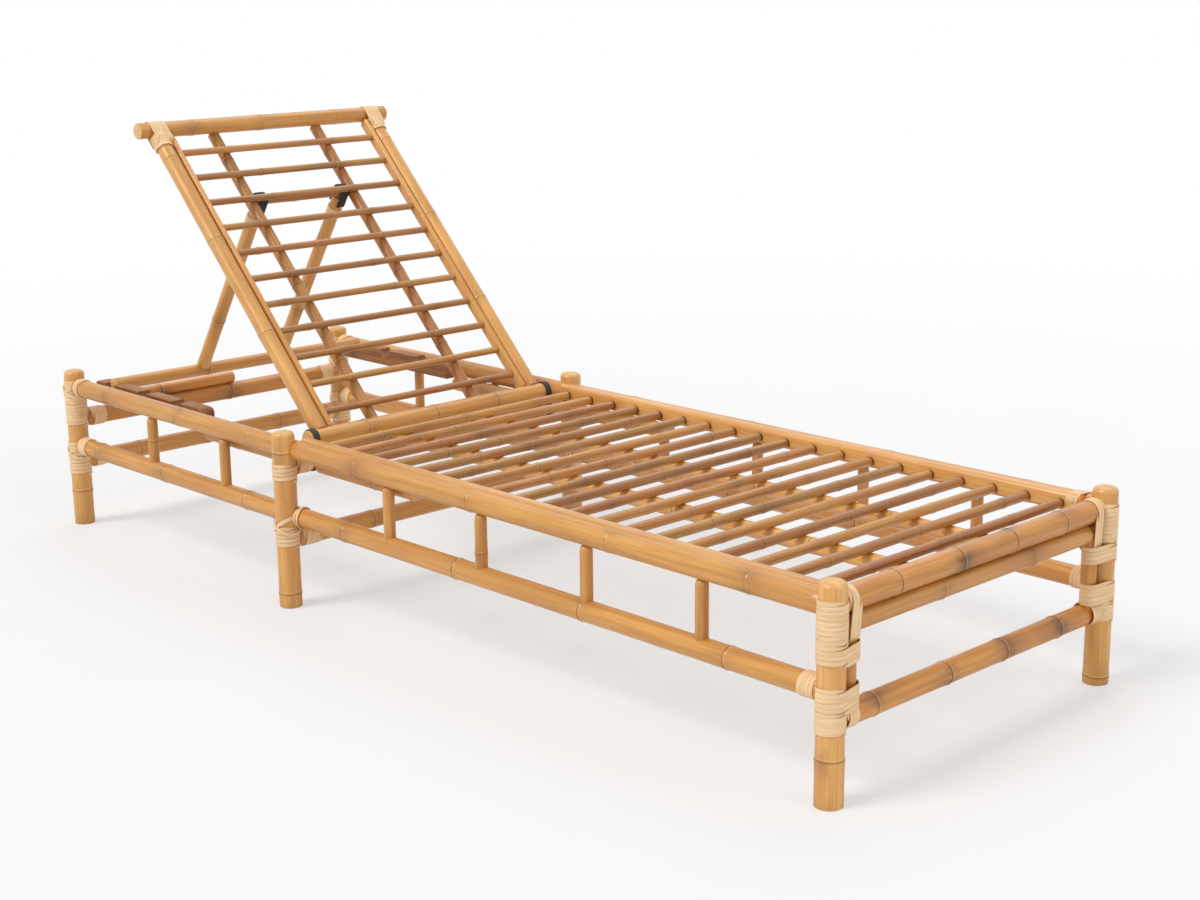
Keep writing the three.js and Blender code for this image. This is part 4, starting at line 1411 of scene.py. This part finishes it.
@dataclass(frozen=True)
class FrameLashings:
    """The rattan at the frame's corners: coils on the posts, and turns on the rails' ends."""

    frame: LowFrame
    pitch: float = 6.9
    wrapped: float = 23.0

    # The lower and upper edges of the coils on each kind of post.
    foot_edges: tuple[float, ...] = (104.5, 136.0, 170.0, 202.0, 230.0, 292.0)
    head_coils: tuple[tuple[float, float], ...] = ((205.5, 296.0), (104.5, 170.0))
    middle_coils: tuple[tuple[float, float], ...] = ((230.5, 260.0), (111.0, 147.0))

    # Each crossing's place and tilt, and how far it lies over a coil.
    head_crossings: tuple[tuple[float, float], ...] = ((276.0, 12.0), (150.0, 12.0))
    middle_crossing: tuple[float, float] = (150.0, 15.0)
    rail_crossing: tuple[float, float] = (27.0, 5.0)
    over_coil: float = 1.2

    foot_side: Wrap = Wrap(-4.0, 3.0)
    foot_low: Wrap = Wrap(9.0, 4.0)
    foot_uppers: Wrap = Wrap(5.0, 3.0)
    foot_cross: Wrap = Wrap(9.0, 3.6)
    head_side: Wrap = Wrap(2.0, 2.4)
    head_low: Wrap = Wrap(2.0, 4.0)
    head_upper: Wrap = Wrap(0.0, 4.2)
    head_cross: Wrap = Wrap(0.0, 3.0)
    middle_upper: Wrap = Wrap(18.5, 4.6)
    middle_low: Wrap = Wrap(16.5, 5.0)

    # What is wound in beside the rails: the strip's edge, the spacer's top end and the low rail's wide loop.
    strip: Circle = (306.0, 293.0, 9.0)
    spacer_end: Circle = (977.0, 236.0, 14.0)
    low_loop: Circle = (978.0, 122.0, 18.0)
    spacer_out: float = 3.0
    spacer_more: float = 0.5

    # Each ring of a crossing: its way of tilting, where it starts and how far it lies over the other.
    RINGS: ClassVar[tuple[tuple[float, float, float], ...]] = ((1, 0.6, 0.0), (-1, 3.7, 1.1))
    RING_PITCH: ClassVar[float] = 1.5

    def coil(self, post: PostPlace, edges: tuple[float, float], inner: Optional[Circle] = None) -> Winding:
        """A coil on a post, in whole turns.

        Args:
            post: the post.
            edges: the coil's lower and upper edge.
            inner: a pole beside the post that is wound in with it.

        Returns:
            The winding.
        """
        low, high = edges
        circles = ((post.x, post.y, self.frame.post_radius),) + ((inner,) if inner else ())
        turns = max(1, round((high - low) / self.pitch))
        return Winding(AXIS_Z, circles, low, turns, (high - low) / turns)

    def crossing(
        self, bench: Bench, circle: Circle, place: float, tilt: float, lift: float = 0.0
    ) -> list[Winding]:
        """Two tilted rings that cross on a pole's faces.

        Args:
            bench: the pole's direction.
            circle: its section.
            place: where on the pole they lie.
            tilt: how far each ring rises and falls.
            lift: how far it lies over what is below.

        Returns:
            The windings.
        """
        return [
            Winding(
                bench, (circle,), place, 1.0, self.RING_PITCH, lift=lift + more, tilt=way * tilt, phase=phase
            )
            for way, phase, more in self.RINGS
        ]

    def end_wrap(self, bench: Bench, circles: tuple[Circle, ...], outward: float, wrap: Wrap) -> Winding:
        """Turns round the end of one or more rails.

        Args:
            bench: the rails' direction.
            circles: the rails' sections.
            outward: 1 or -1, the way out along the rails.
            wrap: the turns.

        Returns:
            The winding.
        """
        half = self.frame.half_length if bench is AXIS_X else self.frame.half_width
        start = half - self.wrapped + wrap.past - self.pitch / 2
        return Winding(bench, circles, outward * start, wrap.turns, -outward * self.pitch)

    def build(self, shop: Workshop) -> None:
        """Makes the lashings of the six posts."""
        kinds = {"head": self.head_windings, "middle": self.middle_windings, "foot": self.foot_windings}
        for post in self.frame.posts():
            name = f"{post.end}_{post.side}"
            piece = Piece(f"rattan_{name}", Slot.RATTAN, (f"lashing_{name}",))
            shop.windings(piece, kinds[post.end](post, math.copysign(1.0, post.y)))

    def foot_windings(self, post: PostPlace, sign: float) -> list[Winding]:
        """The lashing of a foot corner. At the far one, the side rail and its strip are wrapped too."""
        low = self.frame
        spacer = (
            low.spacer_x + self.spacer_out,
            sign * low.spacer_y,
            low.spacer_radius + self.spacer_more,
        )
        uppers = (low.foot_upper.section(low.foot_x), low.foot_second.section(low.foot_x), self.spacer_end)
        low_bottom, low_middle, low_top, bottom, middle, top = self.foot_edges
        windings = [
            self.coil(post, (middle, top)),
            self.coil(post, (bottom, middle), spacer),
            self.coil(post, (low_middle, low_top), spacer),
            self.coil(post, (low_bottom, low_middle)),
            self.end_wrap(AXIS_X, (low.low.section(post.y),), 1.0, self.foot_low),
            self.end_wrap(AXIS_Y, uppers, sign, self.foot_uppers),
            self.end_wrap(AXIS_Y, (self.low_loop,), sign, self.foot_cross),
        ]
        if sign > 0:
            rail_and_strip = (low.side.section(post.y), self.strip)
            windings.insert(0, self.end_wrap(AXIS_X, rail_and_strip, 1.0, self.foot_side))
        return windings

    def head_windings(self, post: PostPlace, sign: float) -> list[Winding]:
        """The lashing of a head corner."""
        low = self.frame
        circle = (post.x, post.y, low.post_radius)
        windings = [self.coil(post, edges) for edges in self.head_coils]
        for place, tilt in self.head_crossings:
            windings += self.crossing(AXIS_Z, circle, place, tilt, self.over_coil)
        return windings + [
            self.end_wrap(AXIS_X, (low.side.section(post.y),), -1.0, self.head_side),
            self.end_wrap(AXIS_X, (low.low.section(post.y),), -1.0, self.head_low),
            self.end_wrap(AXIS_Y, (low.head_upper.section(post.x),), sign, self.head_upper),
            self.end_wrap(AXIS_Y, (low.head_low.section(post.x),), sign, self.head_cross),
        ]

    def middle_windings(self, post: PostPlace, sign: float) -> list[Winding]:
        """The lashing of a middle post."""
        low = self.frame
        beyond, tilt = self.rail_crossing
        low_rail = low.low.section(sign * low.half_width)
        return [
            *(self.coil(post, edges) for edges in self.middle_coils),
            *self.crossing(
                AXIS_Z, (post.x, post.y, low.post_radius), *self.middle_crossing, self.over_coil
            ),
            self.end_wrap(AXIS_Y, (low.middle_upper.section(low.hinge_x),), sign, self.middle_upper),
            self.end_wrap(AXIS_Y, (low.middle_low.section(low.middle_x),), sign, self.middle_low),
            *self.crossing(AXIS_X, low_rail, post.x + beyond, tilt),
        ]


@dataclass(frozen=True)
class Seat:
    """Slats let into two ledge strips, on two bearers."""

    slat_radius: float = 8.0
    height: float = 286.0
    first_x: float = -192.8
    pitch: float = 61.8
    count: int = 19
    reach: float = 298.5
    socket: float = 6.0
    crook: float = 0.0014
    ledge_y: tuple[float, float] = (296.5, 320.0)
    ledge_x: tuple[float, float] = (-221.0, 952.4)
    ledge_z: tuple[float, float] = (273.5, 303.5)
    ledge_bevel: float = 7.0
    bearer_y: float = 96.5
    bearer: Rail = Rail(267.0, 12.0)
    bearer_x: tuple[float, float] = (-243.3, 958.0)
    stands_for: tuple[str, ...] = ("seat_slat_panel",)

    # The random draws: their seed, and the ranges of a slat's nodes, tone and scars.
    SEED: ClassVar[int] = 5
    NODES: ClassVar[tuple[tuple[float, float], ...]] = ((0.12, 0.3), (0.42, 0.6), (0.72, 0.9))
    TONES: ClassVar[tuple[float, float]] = (0.8, 1.14)
    SCARS: ClassVar[tuple[float, float]] = (0.2, 0.8)

    def slat(self, index: int, luck: random.Random) -> Pole:
        """One slat.

        Args:
            index: its number from the hinge.
            luck: where its nodes, tone and scars come from.

        Returns:
            The pole.
        """
        x = self.first_x + index * self.pitch
        nodes = tuple(luck.uniform(*share) for share in self.NODES)
        ends = ((x, -self.reach, self.height), (x, self.reach, self.height))
        tone, scar = luck.uniform(*self.TONES), luck.uniform(*self.SCARS)
        # The slat's ends, sunk in the ledge strips, are painted with shade.
        return Pole(*ends, self.slat_radius, nodes, tone, scar=scar, sunk=self.socket)

    def build(self, shop: Workshop) -> None:
        """Makes the seat."""
        luck = random.Random(self.SEED)
        slats = [self.slat(index, luck) for index in range(self.count)]
        piece = Piece("bamboo_seat_slats", Slot.SLAT, self.stands_for)
        shop.poles(piece, slats, sides=16, crook=self.crook)
        bearers = []
        for _, sign in SIDES:
            ends = ((x, sign * self.bearer_y, self.bearer.z) for x in self.bearer_x)
            bearers.append(Pole(*ends, self.bearer.radius, (0.14, 0.37, 0.6, 0.83), 1.1))
        shop.poles(Piece("bamboo_seat_bearers", Slot.POST, self.stands_for), bearers, sides=20)
        outline = rectangle(self.ledge_x, self.ledge_z)
        for side, sign in SIDES:
            depths = (sign * self.ledge_y[0], sign * self.ledge_y[1])
            piece = Piece(f"ledge_strip_{side}", Slot.POST, self.stands_for)
            shop.board(piece, outline, upright, depths, self.ledge_bevel)


@dataclass(frozen=True)
class Racks:
    """A hardwood board with three round notches on each side rail."""

    head_x: float = -929.0
    length: float = 385.0
    top: float = 302.0
    height: float = 33.0
    corner: float = 12.0
    corner_steps: int = 6
    faces: tuple[float, float] = (280.5, 308.5)
    bevel: float = 1.2
    notch_x: tuple[float, ...] = (-874.0, -753.6, -633.2)
    notch_radius: float = 14.5
    notch_depth: float = 16.0
    notch_steps: int = 14

    def outline(self) -> list[tuple[float, float]]:
        """The board's outline in X and Z."""
        foot_x = self.head_x + self.length
        base = self.top - self.height
        corner, radius = self.corner, self.notch_radius
        points = [(self.head_x, base), (foot_x, base)]
        points += arc((foot_x - corner, self.top - corner), corner, 0, 90, self.corner_steps)
        centre = self.top - self.notch_depth + radius
        for x in reversed(self.notch_x):
            points.append((x + radius, self.top))
            points += arc((x, centre), radius, 0, -180, self.notch_steps)
            points.append((x - radius, self.top))
        points += arc((self.head_x + corner, self.top - corner), corner, 90, 180, self.corner_steps)
        return points

    def build(self, shop: Workshop) -> None:
        """Makes the two racks."""
        for side, sign in SIDES:
            depths = (sign * self.faces[0], sign * self.faces[1])
            piece = Piece(f"hardwood_rack_{side}", Slot.TIMBER, (f"rack_{side}",))
            shop.board(piece, self.outline(), upright, depths, self.bevel)


@dataclass(frozen=True)
class HingeStraps:
    """A black strap round the hinge pole and the rail below it, at each side."""

    y: float = 276.0
    width: float = 13.0
    thickness: float = 1.8
    lift: float = 0.4
    turns: float = 1.12
    stray: float = 0.3
    phase: float = 4.0
    hinge: Circle = (-243.3, 291.0, 16.0)
    rail: Circle = (-243.3, 252.5, 17.0)

    def build(self, shop: Workshop) -> None:
        """Makes the two straps."""
        for side, sign in SIDES:
            winding = Winding(
                AXIS_Y,
                (self.hinge, self.rail),
                sign * self.y,
                self.turns,
                0.0,
                self.thickness,
                self.lift,
                stray=self.stray,
                phase=self.phase,
            )
            piece = Piece(f"black_hinge_strap_{side}", Slot.STRAP, (f"hinge_strap_{side}",))
            shop.windings(piece, [winding], self.width)


# The back.


@dataclass(frozen=True)
class Slope:
    """The back's own directions: up its length, and out of the side that is sat against."""

    hinge: Point = (-243.3, 0.0, 291.0)
    angle: float = math.radians(45.9)

    def at(self, up: float, y: float, out: float) -> Point:
        """A place on the back.

        Args:
            up: the distance from the hinge along the back.
            y: the place across.
            out: the distance out of the slats' plane.

        Returns:
            The place in the frame.
        """
        c, s = math.cos(self.angle), math.sin(self.angle)
        return (self.hinge[0] - up * c + out * s, y, self.hinge[2] + up * s + out * c)

    def board(self, up: float, out: float, depth: float) -> Vector:
        """The place of a point on a board that stands along the back, at a depth across it."""
        return Vector(self.at(up, depth, out))

    def bench(self, y: float) -> Bench:
        """A bench whose line runs up the back at a place across."""
        c, s = math.cos(self.angle), math.sin(self.angle)
        origin = Vector((self.hinge[0], y, self.hinge[2]))
        return Bench(origin, Vector((0, 1, 0)), Vector((s, 0, c)), Vector((-c, 0, s)))


@dataclass(frozen=True)
class BackRest:
    """Two stiles and a top rail round slats in two strips, on two inner poles."""

    slope: Slope = Slope()
    hinge_reach: float = 286.0
    hinge_radius: float = 16.0
    top: float = 712.1
    rail_reach: float = 289.4
    rail_radius: float = 15.0
    start: float = 13.0
    stile_y: float = 252.1
    stile_radius: float = 15.0
    stile_gap: float = 4.0
    crook: float = 0.0008
    slat_radius: float = 6.5
    slat_crook: float = 0.001
    first: float = 49.0
    pitch: float = 60.3
    count: int = 11
    slat_reach: float = 226.6
    strip_y: tuple[float, float] = (224.6, 235.6)
    strip_out: tuple[float, float] = (-10.0, 11.0)
    strip_up: tuple[float, float] = (14.0, 694.0)
    strip_bevel: float = 4.2
    inner_y: float = 120.0
    inner_radius: float = 11.0
    inner_out: float = -16.5
    inner_gap: float = 8.0
    pivot_up: float = 540.0
    pivot_out: float = -18.0
    pivot_radius: float = 10.0

    # The coil on a stile's top, and the turns that tie it to the top rail.
    coil: tuple[float, float] = (662.8, 696.8)
    coil_ease: float = 1.0
    tie_below: float = 12.0
    tie_inside: float = 16.0
    tie_turns: float = 4.6
    strand_pitch: float = 6.9
    stands_for: tuple[str, ...] = ("back_slat_panel",)

    # The random draws: their seed, and the ranges of a slat's nodes, tone and scars.
    SEED: ClassVar[int] = 8
    NODES: ClassVar[tuple[tuple[float, float], ...]] = ((0.1, 0.35), (0.6, 0.85))
    TONES: ClassVar[tuple[float, float]] = (0.82, 1.12)
    SCARS: ClassVar[tuple[float, float]] = (0.2, 0.6)

    def pole(
        self,
        start: Point,
        end: Point,
        radius: float,
        nodes: tuple[float, ...],
        tone: float = 1.0,
        scar: float = 0.8,
    ) -> Pole:
        """A pole between two places on the back."""
        return Pole(self.slope.at(*start), self.slope.at(*end), radius, nodes, tone, scar=scar)

    def build_frame(self, shop: Workshop) -> None:
        """Makes the hinge pole, the stiles and the top rail."""
        ends = ((0.0, -self.hinge_reach, 0.0), (0.0, self.hinge_reach, 0.0))
        hinge = self.pole(*ends, self.hinge_radius, (0.22, 0.5, 0.76))
        shop.poles(Piece("bamboo_hinge_pole", Slot.RAIL, ("hinge_pole",), "back"), [hinge])
        ends = ((self.top, -self.rail_reach, 0.0), (self.top, self.rail_reach, 0.0))
        rail = self.pole(*ends, self.rail_radius, (0.2, 0.47, 0.78), scar=0.25)
        piece = Piece("bamboo_back_top_rail", Slot.RAIL, ("back_top_rail",), "back")
        shop.poles(piece, [rail], crook=self.crook)
        for side, sign in SIDES:
            y, tone = sign * self.stile_y, 1.0 + sign * 0.03
            ends = ((self.start, y, 0.0), (self.top - self.stile_gap, y, 0.0))
            stile = self.pole(*ends, self.stile_radius, (0.31, 0.62, 0.9), tone, 0.45)
            piece = Piece(f"bamboo_stile_{side}", Slot.POST, (f"stile_{side}",), "back")
            shop.poles(piece, [stile], crook=self.crook)

    def slat(self, index: int, luck: random.Random) -> Pole:
        """One slat.

        Args:
            index: its number from the hinge.
            luck: where its nodes, tone and scars come from.

        Returns:
            The pole.
        """
        up = self.first + index * self.pitch
        nodes = tuple(luck.uniform(*share) for share in self.NODES)
        ends = ((up, -self.slat_reach, 0.0), (up, self.slat_reach, 0.0))
        tone, scar = luck.uniform(*self.TONES), luck.uniform(*self.SCARS)
        return self.pole(*ends, self.slat_radius, nodes, tone, scar)

    def build_panel(self, shop: Workshop) -> None:
        """Makes the slats, the strips, the inner poles and the bar that the prop hangs on."""
        luck = random.Random(self.SEED)
        slats = [self.slat(index, luck) for index in range(self.count)]
        piece = Piece("bamboo_back_slats", Slot.SLAT, self.stands_for, "back")
        shop.poles(piece, slats, sides=16, crook=self.slat_crook)
        inner = []
        for _, sign in SIDES:
            heights = (self.start, self.top - self.inner_gap)
            ends = ((up, sign * self.inner_y, self.inner_out) for up in heights)
            inner.append(self.pole(*ends, self.inner_radius, (0.2, 0.46, 0.68, 0.9)))
        piece = Piece("bamboo_back_inner_poles", Slot.SLAT, self.stands_for, "back")
        shop.poles(piece, inner, sides=20)
        ends = ((self.pivot_up, sign * self.inner_y, self.pivot_out) for _, sign in SIDES)
        bar = self.pole(*ends, self.pivot_radius, (0.42,))
        shop.poles(Piece("bamboo_pivot_bar", Slot.SLAT, self.stands_for, "back"), [bar], sides=24)
        outline = rectangle(self.strip_up, self.strip_out)
        fibre = (-math.cos(self.slope.angle), 0.0, math.sin(self.slope.angle))
        for side, sign in SIDES:
            depths = (sign * self.strip_y[0], sign * self.strip_y[1])
            piece = Piece(f"back_strip_{side}", Slot.POST, self.stands_for, "back")
            shop.board(piece, outline, self.slope.board, depths, self.strip_bevel, fibre)

    def build_lashings(self, shop: Workshop) -> None:
        """Makes the lashings at the two top corners."""
        low, high = self.coil
        pitch = self.strand_pitch
        top, below = self.slope.at(self.top, 0, 0), self.slope.at(high - self.tie_below, 0, 0)
        tied = (
            (top[0], top[2], self.rail_radius),
            (below[0], below[2], self.stile_radius - self.coil_ease),
        )
        coiled = ((0.0, 0.0, self.stile_radius + self.coil_ease),)
        turns = (high - low) / pitch - 1
        for side, sign in SIDES:
            y = sign * self.stile_y
            windings = [
                Winding(self.slope.bench(y), coiled, low + pitch / 2, turns, pitch),
                Winding(AXIS_Y, tied, y - sign * self.tie_inside, self.tie_turns, sign * pitch),
            ]
            piece = Piece(f"rattan_back_{side}", Slot.RATTAN, (f"back_lashing_{side}",), "back")
            shop.windings(piece, windings)

    def build(self, shop: Workshop) -> None:
        """Makes the back."""
        self.build_frame(shop)
        self.build_panel(shop)
        self.build_lashings(shop)


@dataclass(frozen=True)
class Prop:
    """Two legs hung on the back's bar, and the bar between them that lies in the racks."""

    pivot: Point = (-632.019, 0.0, 666.262)
    bar: Point = (-874.0, 0.0, 298.8)
    bar_radius: float = 12.5
    bar_reach: float = 300.0
    leg_y: float = 96.0
    leg_radius: float = 13.0
    leg_gap: float = 13.0
    lashing_start: float = 38.0
    lashing_turns: float = 3.6
    strap_width: float = 19.0
    strap_thickness: float = 2.0
    strap_radius: float = 12.2
    strap_ease: float = 1.6
    strap_tail: float = 30.0

    # The steps of a strap's tails and of its bend, and how far its pattern runs with each step, in metres.
    TAIL_STEPS: ClassVar[int] = 6
    BEND_STEPS: ClassVar[int] = 16
    RUN: ClassVar[float] = 0.005

    def bench(self, y: float) -> Bench:
        """A bench whose line runs down a leg from the pivot."""
        down = (Vector(self.bar) - Vector(self.pivot)).normalized()
        side = Vector((0.0, 1.0, 0.0))
        return Bench(Vector((self.pivot[0], y, self.pivot[2])), side, side.cross(down), down)

    def build(self, shop: Workshop) -> None:
        """Makes the prop."""
        ends = ((self.bar[0], sign * self.bar_reach, self.bar[2]) for _, sign in SIDES)
        bar = Pole(*ends, self.bar_radius, (0.36, 0.7))
        shop.poles(Piece("bamboo_prop_bar", Slot.RAIL, ("prop_bar",), "prop"), [bar])
        length = (Vector(self.bar) - Vector(self.pivot)).length
        for side, sign in SIDES:
            bench = self.bench(sign * self.leg_y)
            ends = (tuple(bench.at(0, 0, down)) for down in (self.leg_gap, length - self.leg_gap))
            leg = Pole(*ends, self.leg_radius, (0.28, 0.7), 1.0 - sign * 0.03)
            shop.poles(Piece(f"bamboo_prop_leg_{side}", Slot.POST, (f"prop_leg_{side}",), "prop"), [leg])
            circles = ((0.0, 0.0, self.leg_radius),)
            winding = Winding(bench, circles, self.lashing_start, self.lashing_turns)
            piece = Piece(f"rattan_prop_{side}", Slot.RATTAN, (f"prop_lashing_{side}",), "prop")
            shop.windings(piece, [winding])
            piece = Piece(f"black_prop_strap_{side}", Slot.STRAP, (f"prop_strap_{side}",), "prop")
            shop.ribbons(piece, self.strap(bench), self.strap_width, self.strap_thickness)

    def strap(self, bench: Bench) -> Paths:
        """The strap's line, over the pivot bar and down both faces of the leg."""
        flat = self.strap_radius + self.strap_ease
        tail = [self.strap_tail * step / self.TAIL_STEPS for step in range(1, self.TAIL_STEPS + 1)]
        rows = [(bench.at(0, -flat, down), -bench.aside) for down in reversed(tail)]
        for step in range(self.BEND_STEPS + 1):
            angle = math.pi * step / self.BEND_STEPS
            way = bench.aside * -math.cos(angle) - bench.along * math.sin(angle)
            reach = self.strap_radius + self.strap_ease * abs(math.cos(angle))
            rows.append((bench.origin + way * reach, way))
        rows += [(bench.at(0, flat, down), bench.aside) for down in tail]
        paths = Paths()
        paths.line(
            [place * MM for place, _ in rows],
            outward=[way for _, way in rows],
            along=[step * self.RUN for step in range(len(rows))],
            fullness=[1.0] * len(rows),
            tone=[1.0] * len(rows),
        )
        return paths


# The studio.


@dataclass(frozen=True)
class Lamp:
    """A soft lamp that is aimed at the origin: its place, the angle it spreads over, and its strength."""

    name: str
    place: Point
    spread: float
    strength: float

    def hang(self) -> None:
        """Makes the lamp."""
        data = bpy.data.lights.new(self.name, "SUN")
        data.angle = math.radians(self.spread)
        data.energy = self.strength
        lamp = placed(self.name, data)
        lamp.location = self.place
        lamp.rotation_euler = (-Vector(self.place)).to_track_quat("-Z", "Y").to_euler()


@dataclass(frozen=True)
class Studio:
    """A pale floor that glows into the white surround, soft lamps and the camera. Sizes are in metres."""

    camera_place: Point = (2.5246, -2.2304, 1.1061)
    right: Point = (0.69441, 0.71952, -0.00912)
    upward: Point = (-0.16888, 0.17528, 0.96992)
    forward: Point = (-0.69948, 0.67199, -0.24323)
    lens: float = 58.62
    sensor: float = 36.0
    floor_size: float = 40.0
    dust: tuple[Colour, Colour] = ((0.8, 0.8, 0.8), (0.83, 0.83, 0.83))
    dust_pace: Point = (3.0, 3.0, 3.0)
    floor_roughness: float = 0.9
    floor_relief: float = 0.0001
    least_glow: float = 0.45
    glow_reach: tuple[float, float] = (1.2, 4.5)
    ambient: float = 0.45
    lamps: tuple[Lamp, ...] = (
        Lamp("key", (-1.0, -3.0, 3.6), 24.0, 1.7),
        Lamp("fill", (3.6, 0.6, 2.4), 40.0, 0.65),
        Lamp("top", (-1.2, 2.4, 4.2), 40.0, 0.5),
    )

    def build_camera(self) -> None:
        """Places the camera."""
        data = bpy.data.cameras.new("camera")
        data.lens = self.lens
        data.sensor_width = self.sensor
        camera = placed("camera", data)
        aim = Matrix((self.right, self.upward, tuple(-part for part in self.forward))).transposed()
        camera.matrix_world = Matrix.Translation(self.camera_place) @ aim.to_4x4()
        bpy.context.scene.camera = camera

    def build_floor(self) -> None:
        """Makes the floor."""
        half = self.floor_size / 2
        mesh = bpy.data.meshes.new("floor")
        corners = [(*corner, 0.0) for corner in rectangle((-half, half), (-half, half))]
        mesh.from_pydata(corners, [], [(0, 1, 2, 3)])
        mesh.materials.append(self.floor_finish())
        placed("floor", mesh)

    def floor_finish(self) -> bpy.types.Material:
        """A pale finish that turns to plain white, as the camera sees it, away from the lounger."""
        pale = Recipe("pale floor")
        place = pale.node("ShaderNodeTexCoord", output="Object")
        dust = pale.noise(place, self.dust_pace, 3.0)
        material = pale.finish(pale.mix(dust, *self.dust), self.floor_roughness, dust, self.floor_relief)
        distance = pale.node("ShaderNodeVectorMath", {"operation": "LENGTH"}, {0: place}, "Value")
        seen = pale.node("ShaderNodeLightPath", output="Is Camera Ray")
        rest = 1.0 - self.least_glow
        share = seen * (self.least_glow + pale.step(distance, *self.glow_reach) * rest)
        glow = pale.node("ShaderNodeEmission", {}, {"Color": (1.0, 1.0, 1.0, 1.0), "Strength": 1.0})
        whole = pale.node("ShaderNodeMixShader", {}, {0: share, 1: pale.shader.outputs[0], 2: glow})
        pale.tree.links.new(whole.socket, pale.tree.nodes["Material Output"].inputs["Surface"])
        return material

    def build_world(self) -> None:
        """Makes a white surround that lights the object only softly."""
        world = bpy.data.worlds.new("surround")
        bpy.context.scene.world = world
        world.use_nodes = True
        surround = Tree(world.node_tree)
        background = surround.tree.nodes["Background"]
        background.inputs["Color"].default_value = (1.0, 1.0, 1.0, 1.0)
        kinds = ("Is Camera Ray", "Is Glossy Ray", "Is Transmission Ray")
        seen, glossy, through = (surround.node("ShaderNodeLightPath", output=kind) for kind in kinds)
        direct = seen.math("MAXIMUM", seen.math("MAXIMUM", seen, glossy), through)
        strength = direct * (1.0 - self.ambient) + self.ambient
        surround.tree.links.new(strength.socket, background.inputs["Strength"])

    def build(self) -> None:
        """Makes the studio."""
        self.build_camera()
        self.build_floor()
        self.build_world()
        for lamp in self.lamps:
            lamp.hang()
        bpy.context.scene.view_settings.view_transform = "Standard"


def main() -> None:
    """Builds the lounger and its studio."""
    logging.basicConfig(level=logging.INFO, format="%(name)s %(message)s")
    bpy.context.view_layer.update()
    materials = {slot: finish.material() for slot, finish in FINISHES.items()}
    shop = Workshop(materials, CulmTree(), StrandTree())
    low_frame = LowFrame()
    for assembly in (low_frame, FrameLashings(low_frame), Seat(), Racks(), HingeStraps(), BackRest(), Prop()):
        assembly.build(shop)
    Studio().build()
    LOG.info("%d pieces, %d faces", len(shop.made), sum(len(piece.data.polygons) for piece in shop.made))


if __name__ == "__main__":
    main()
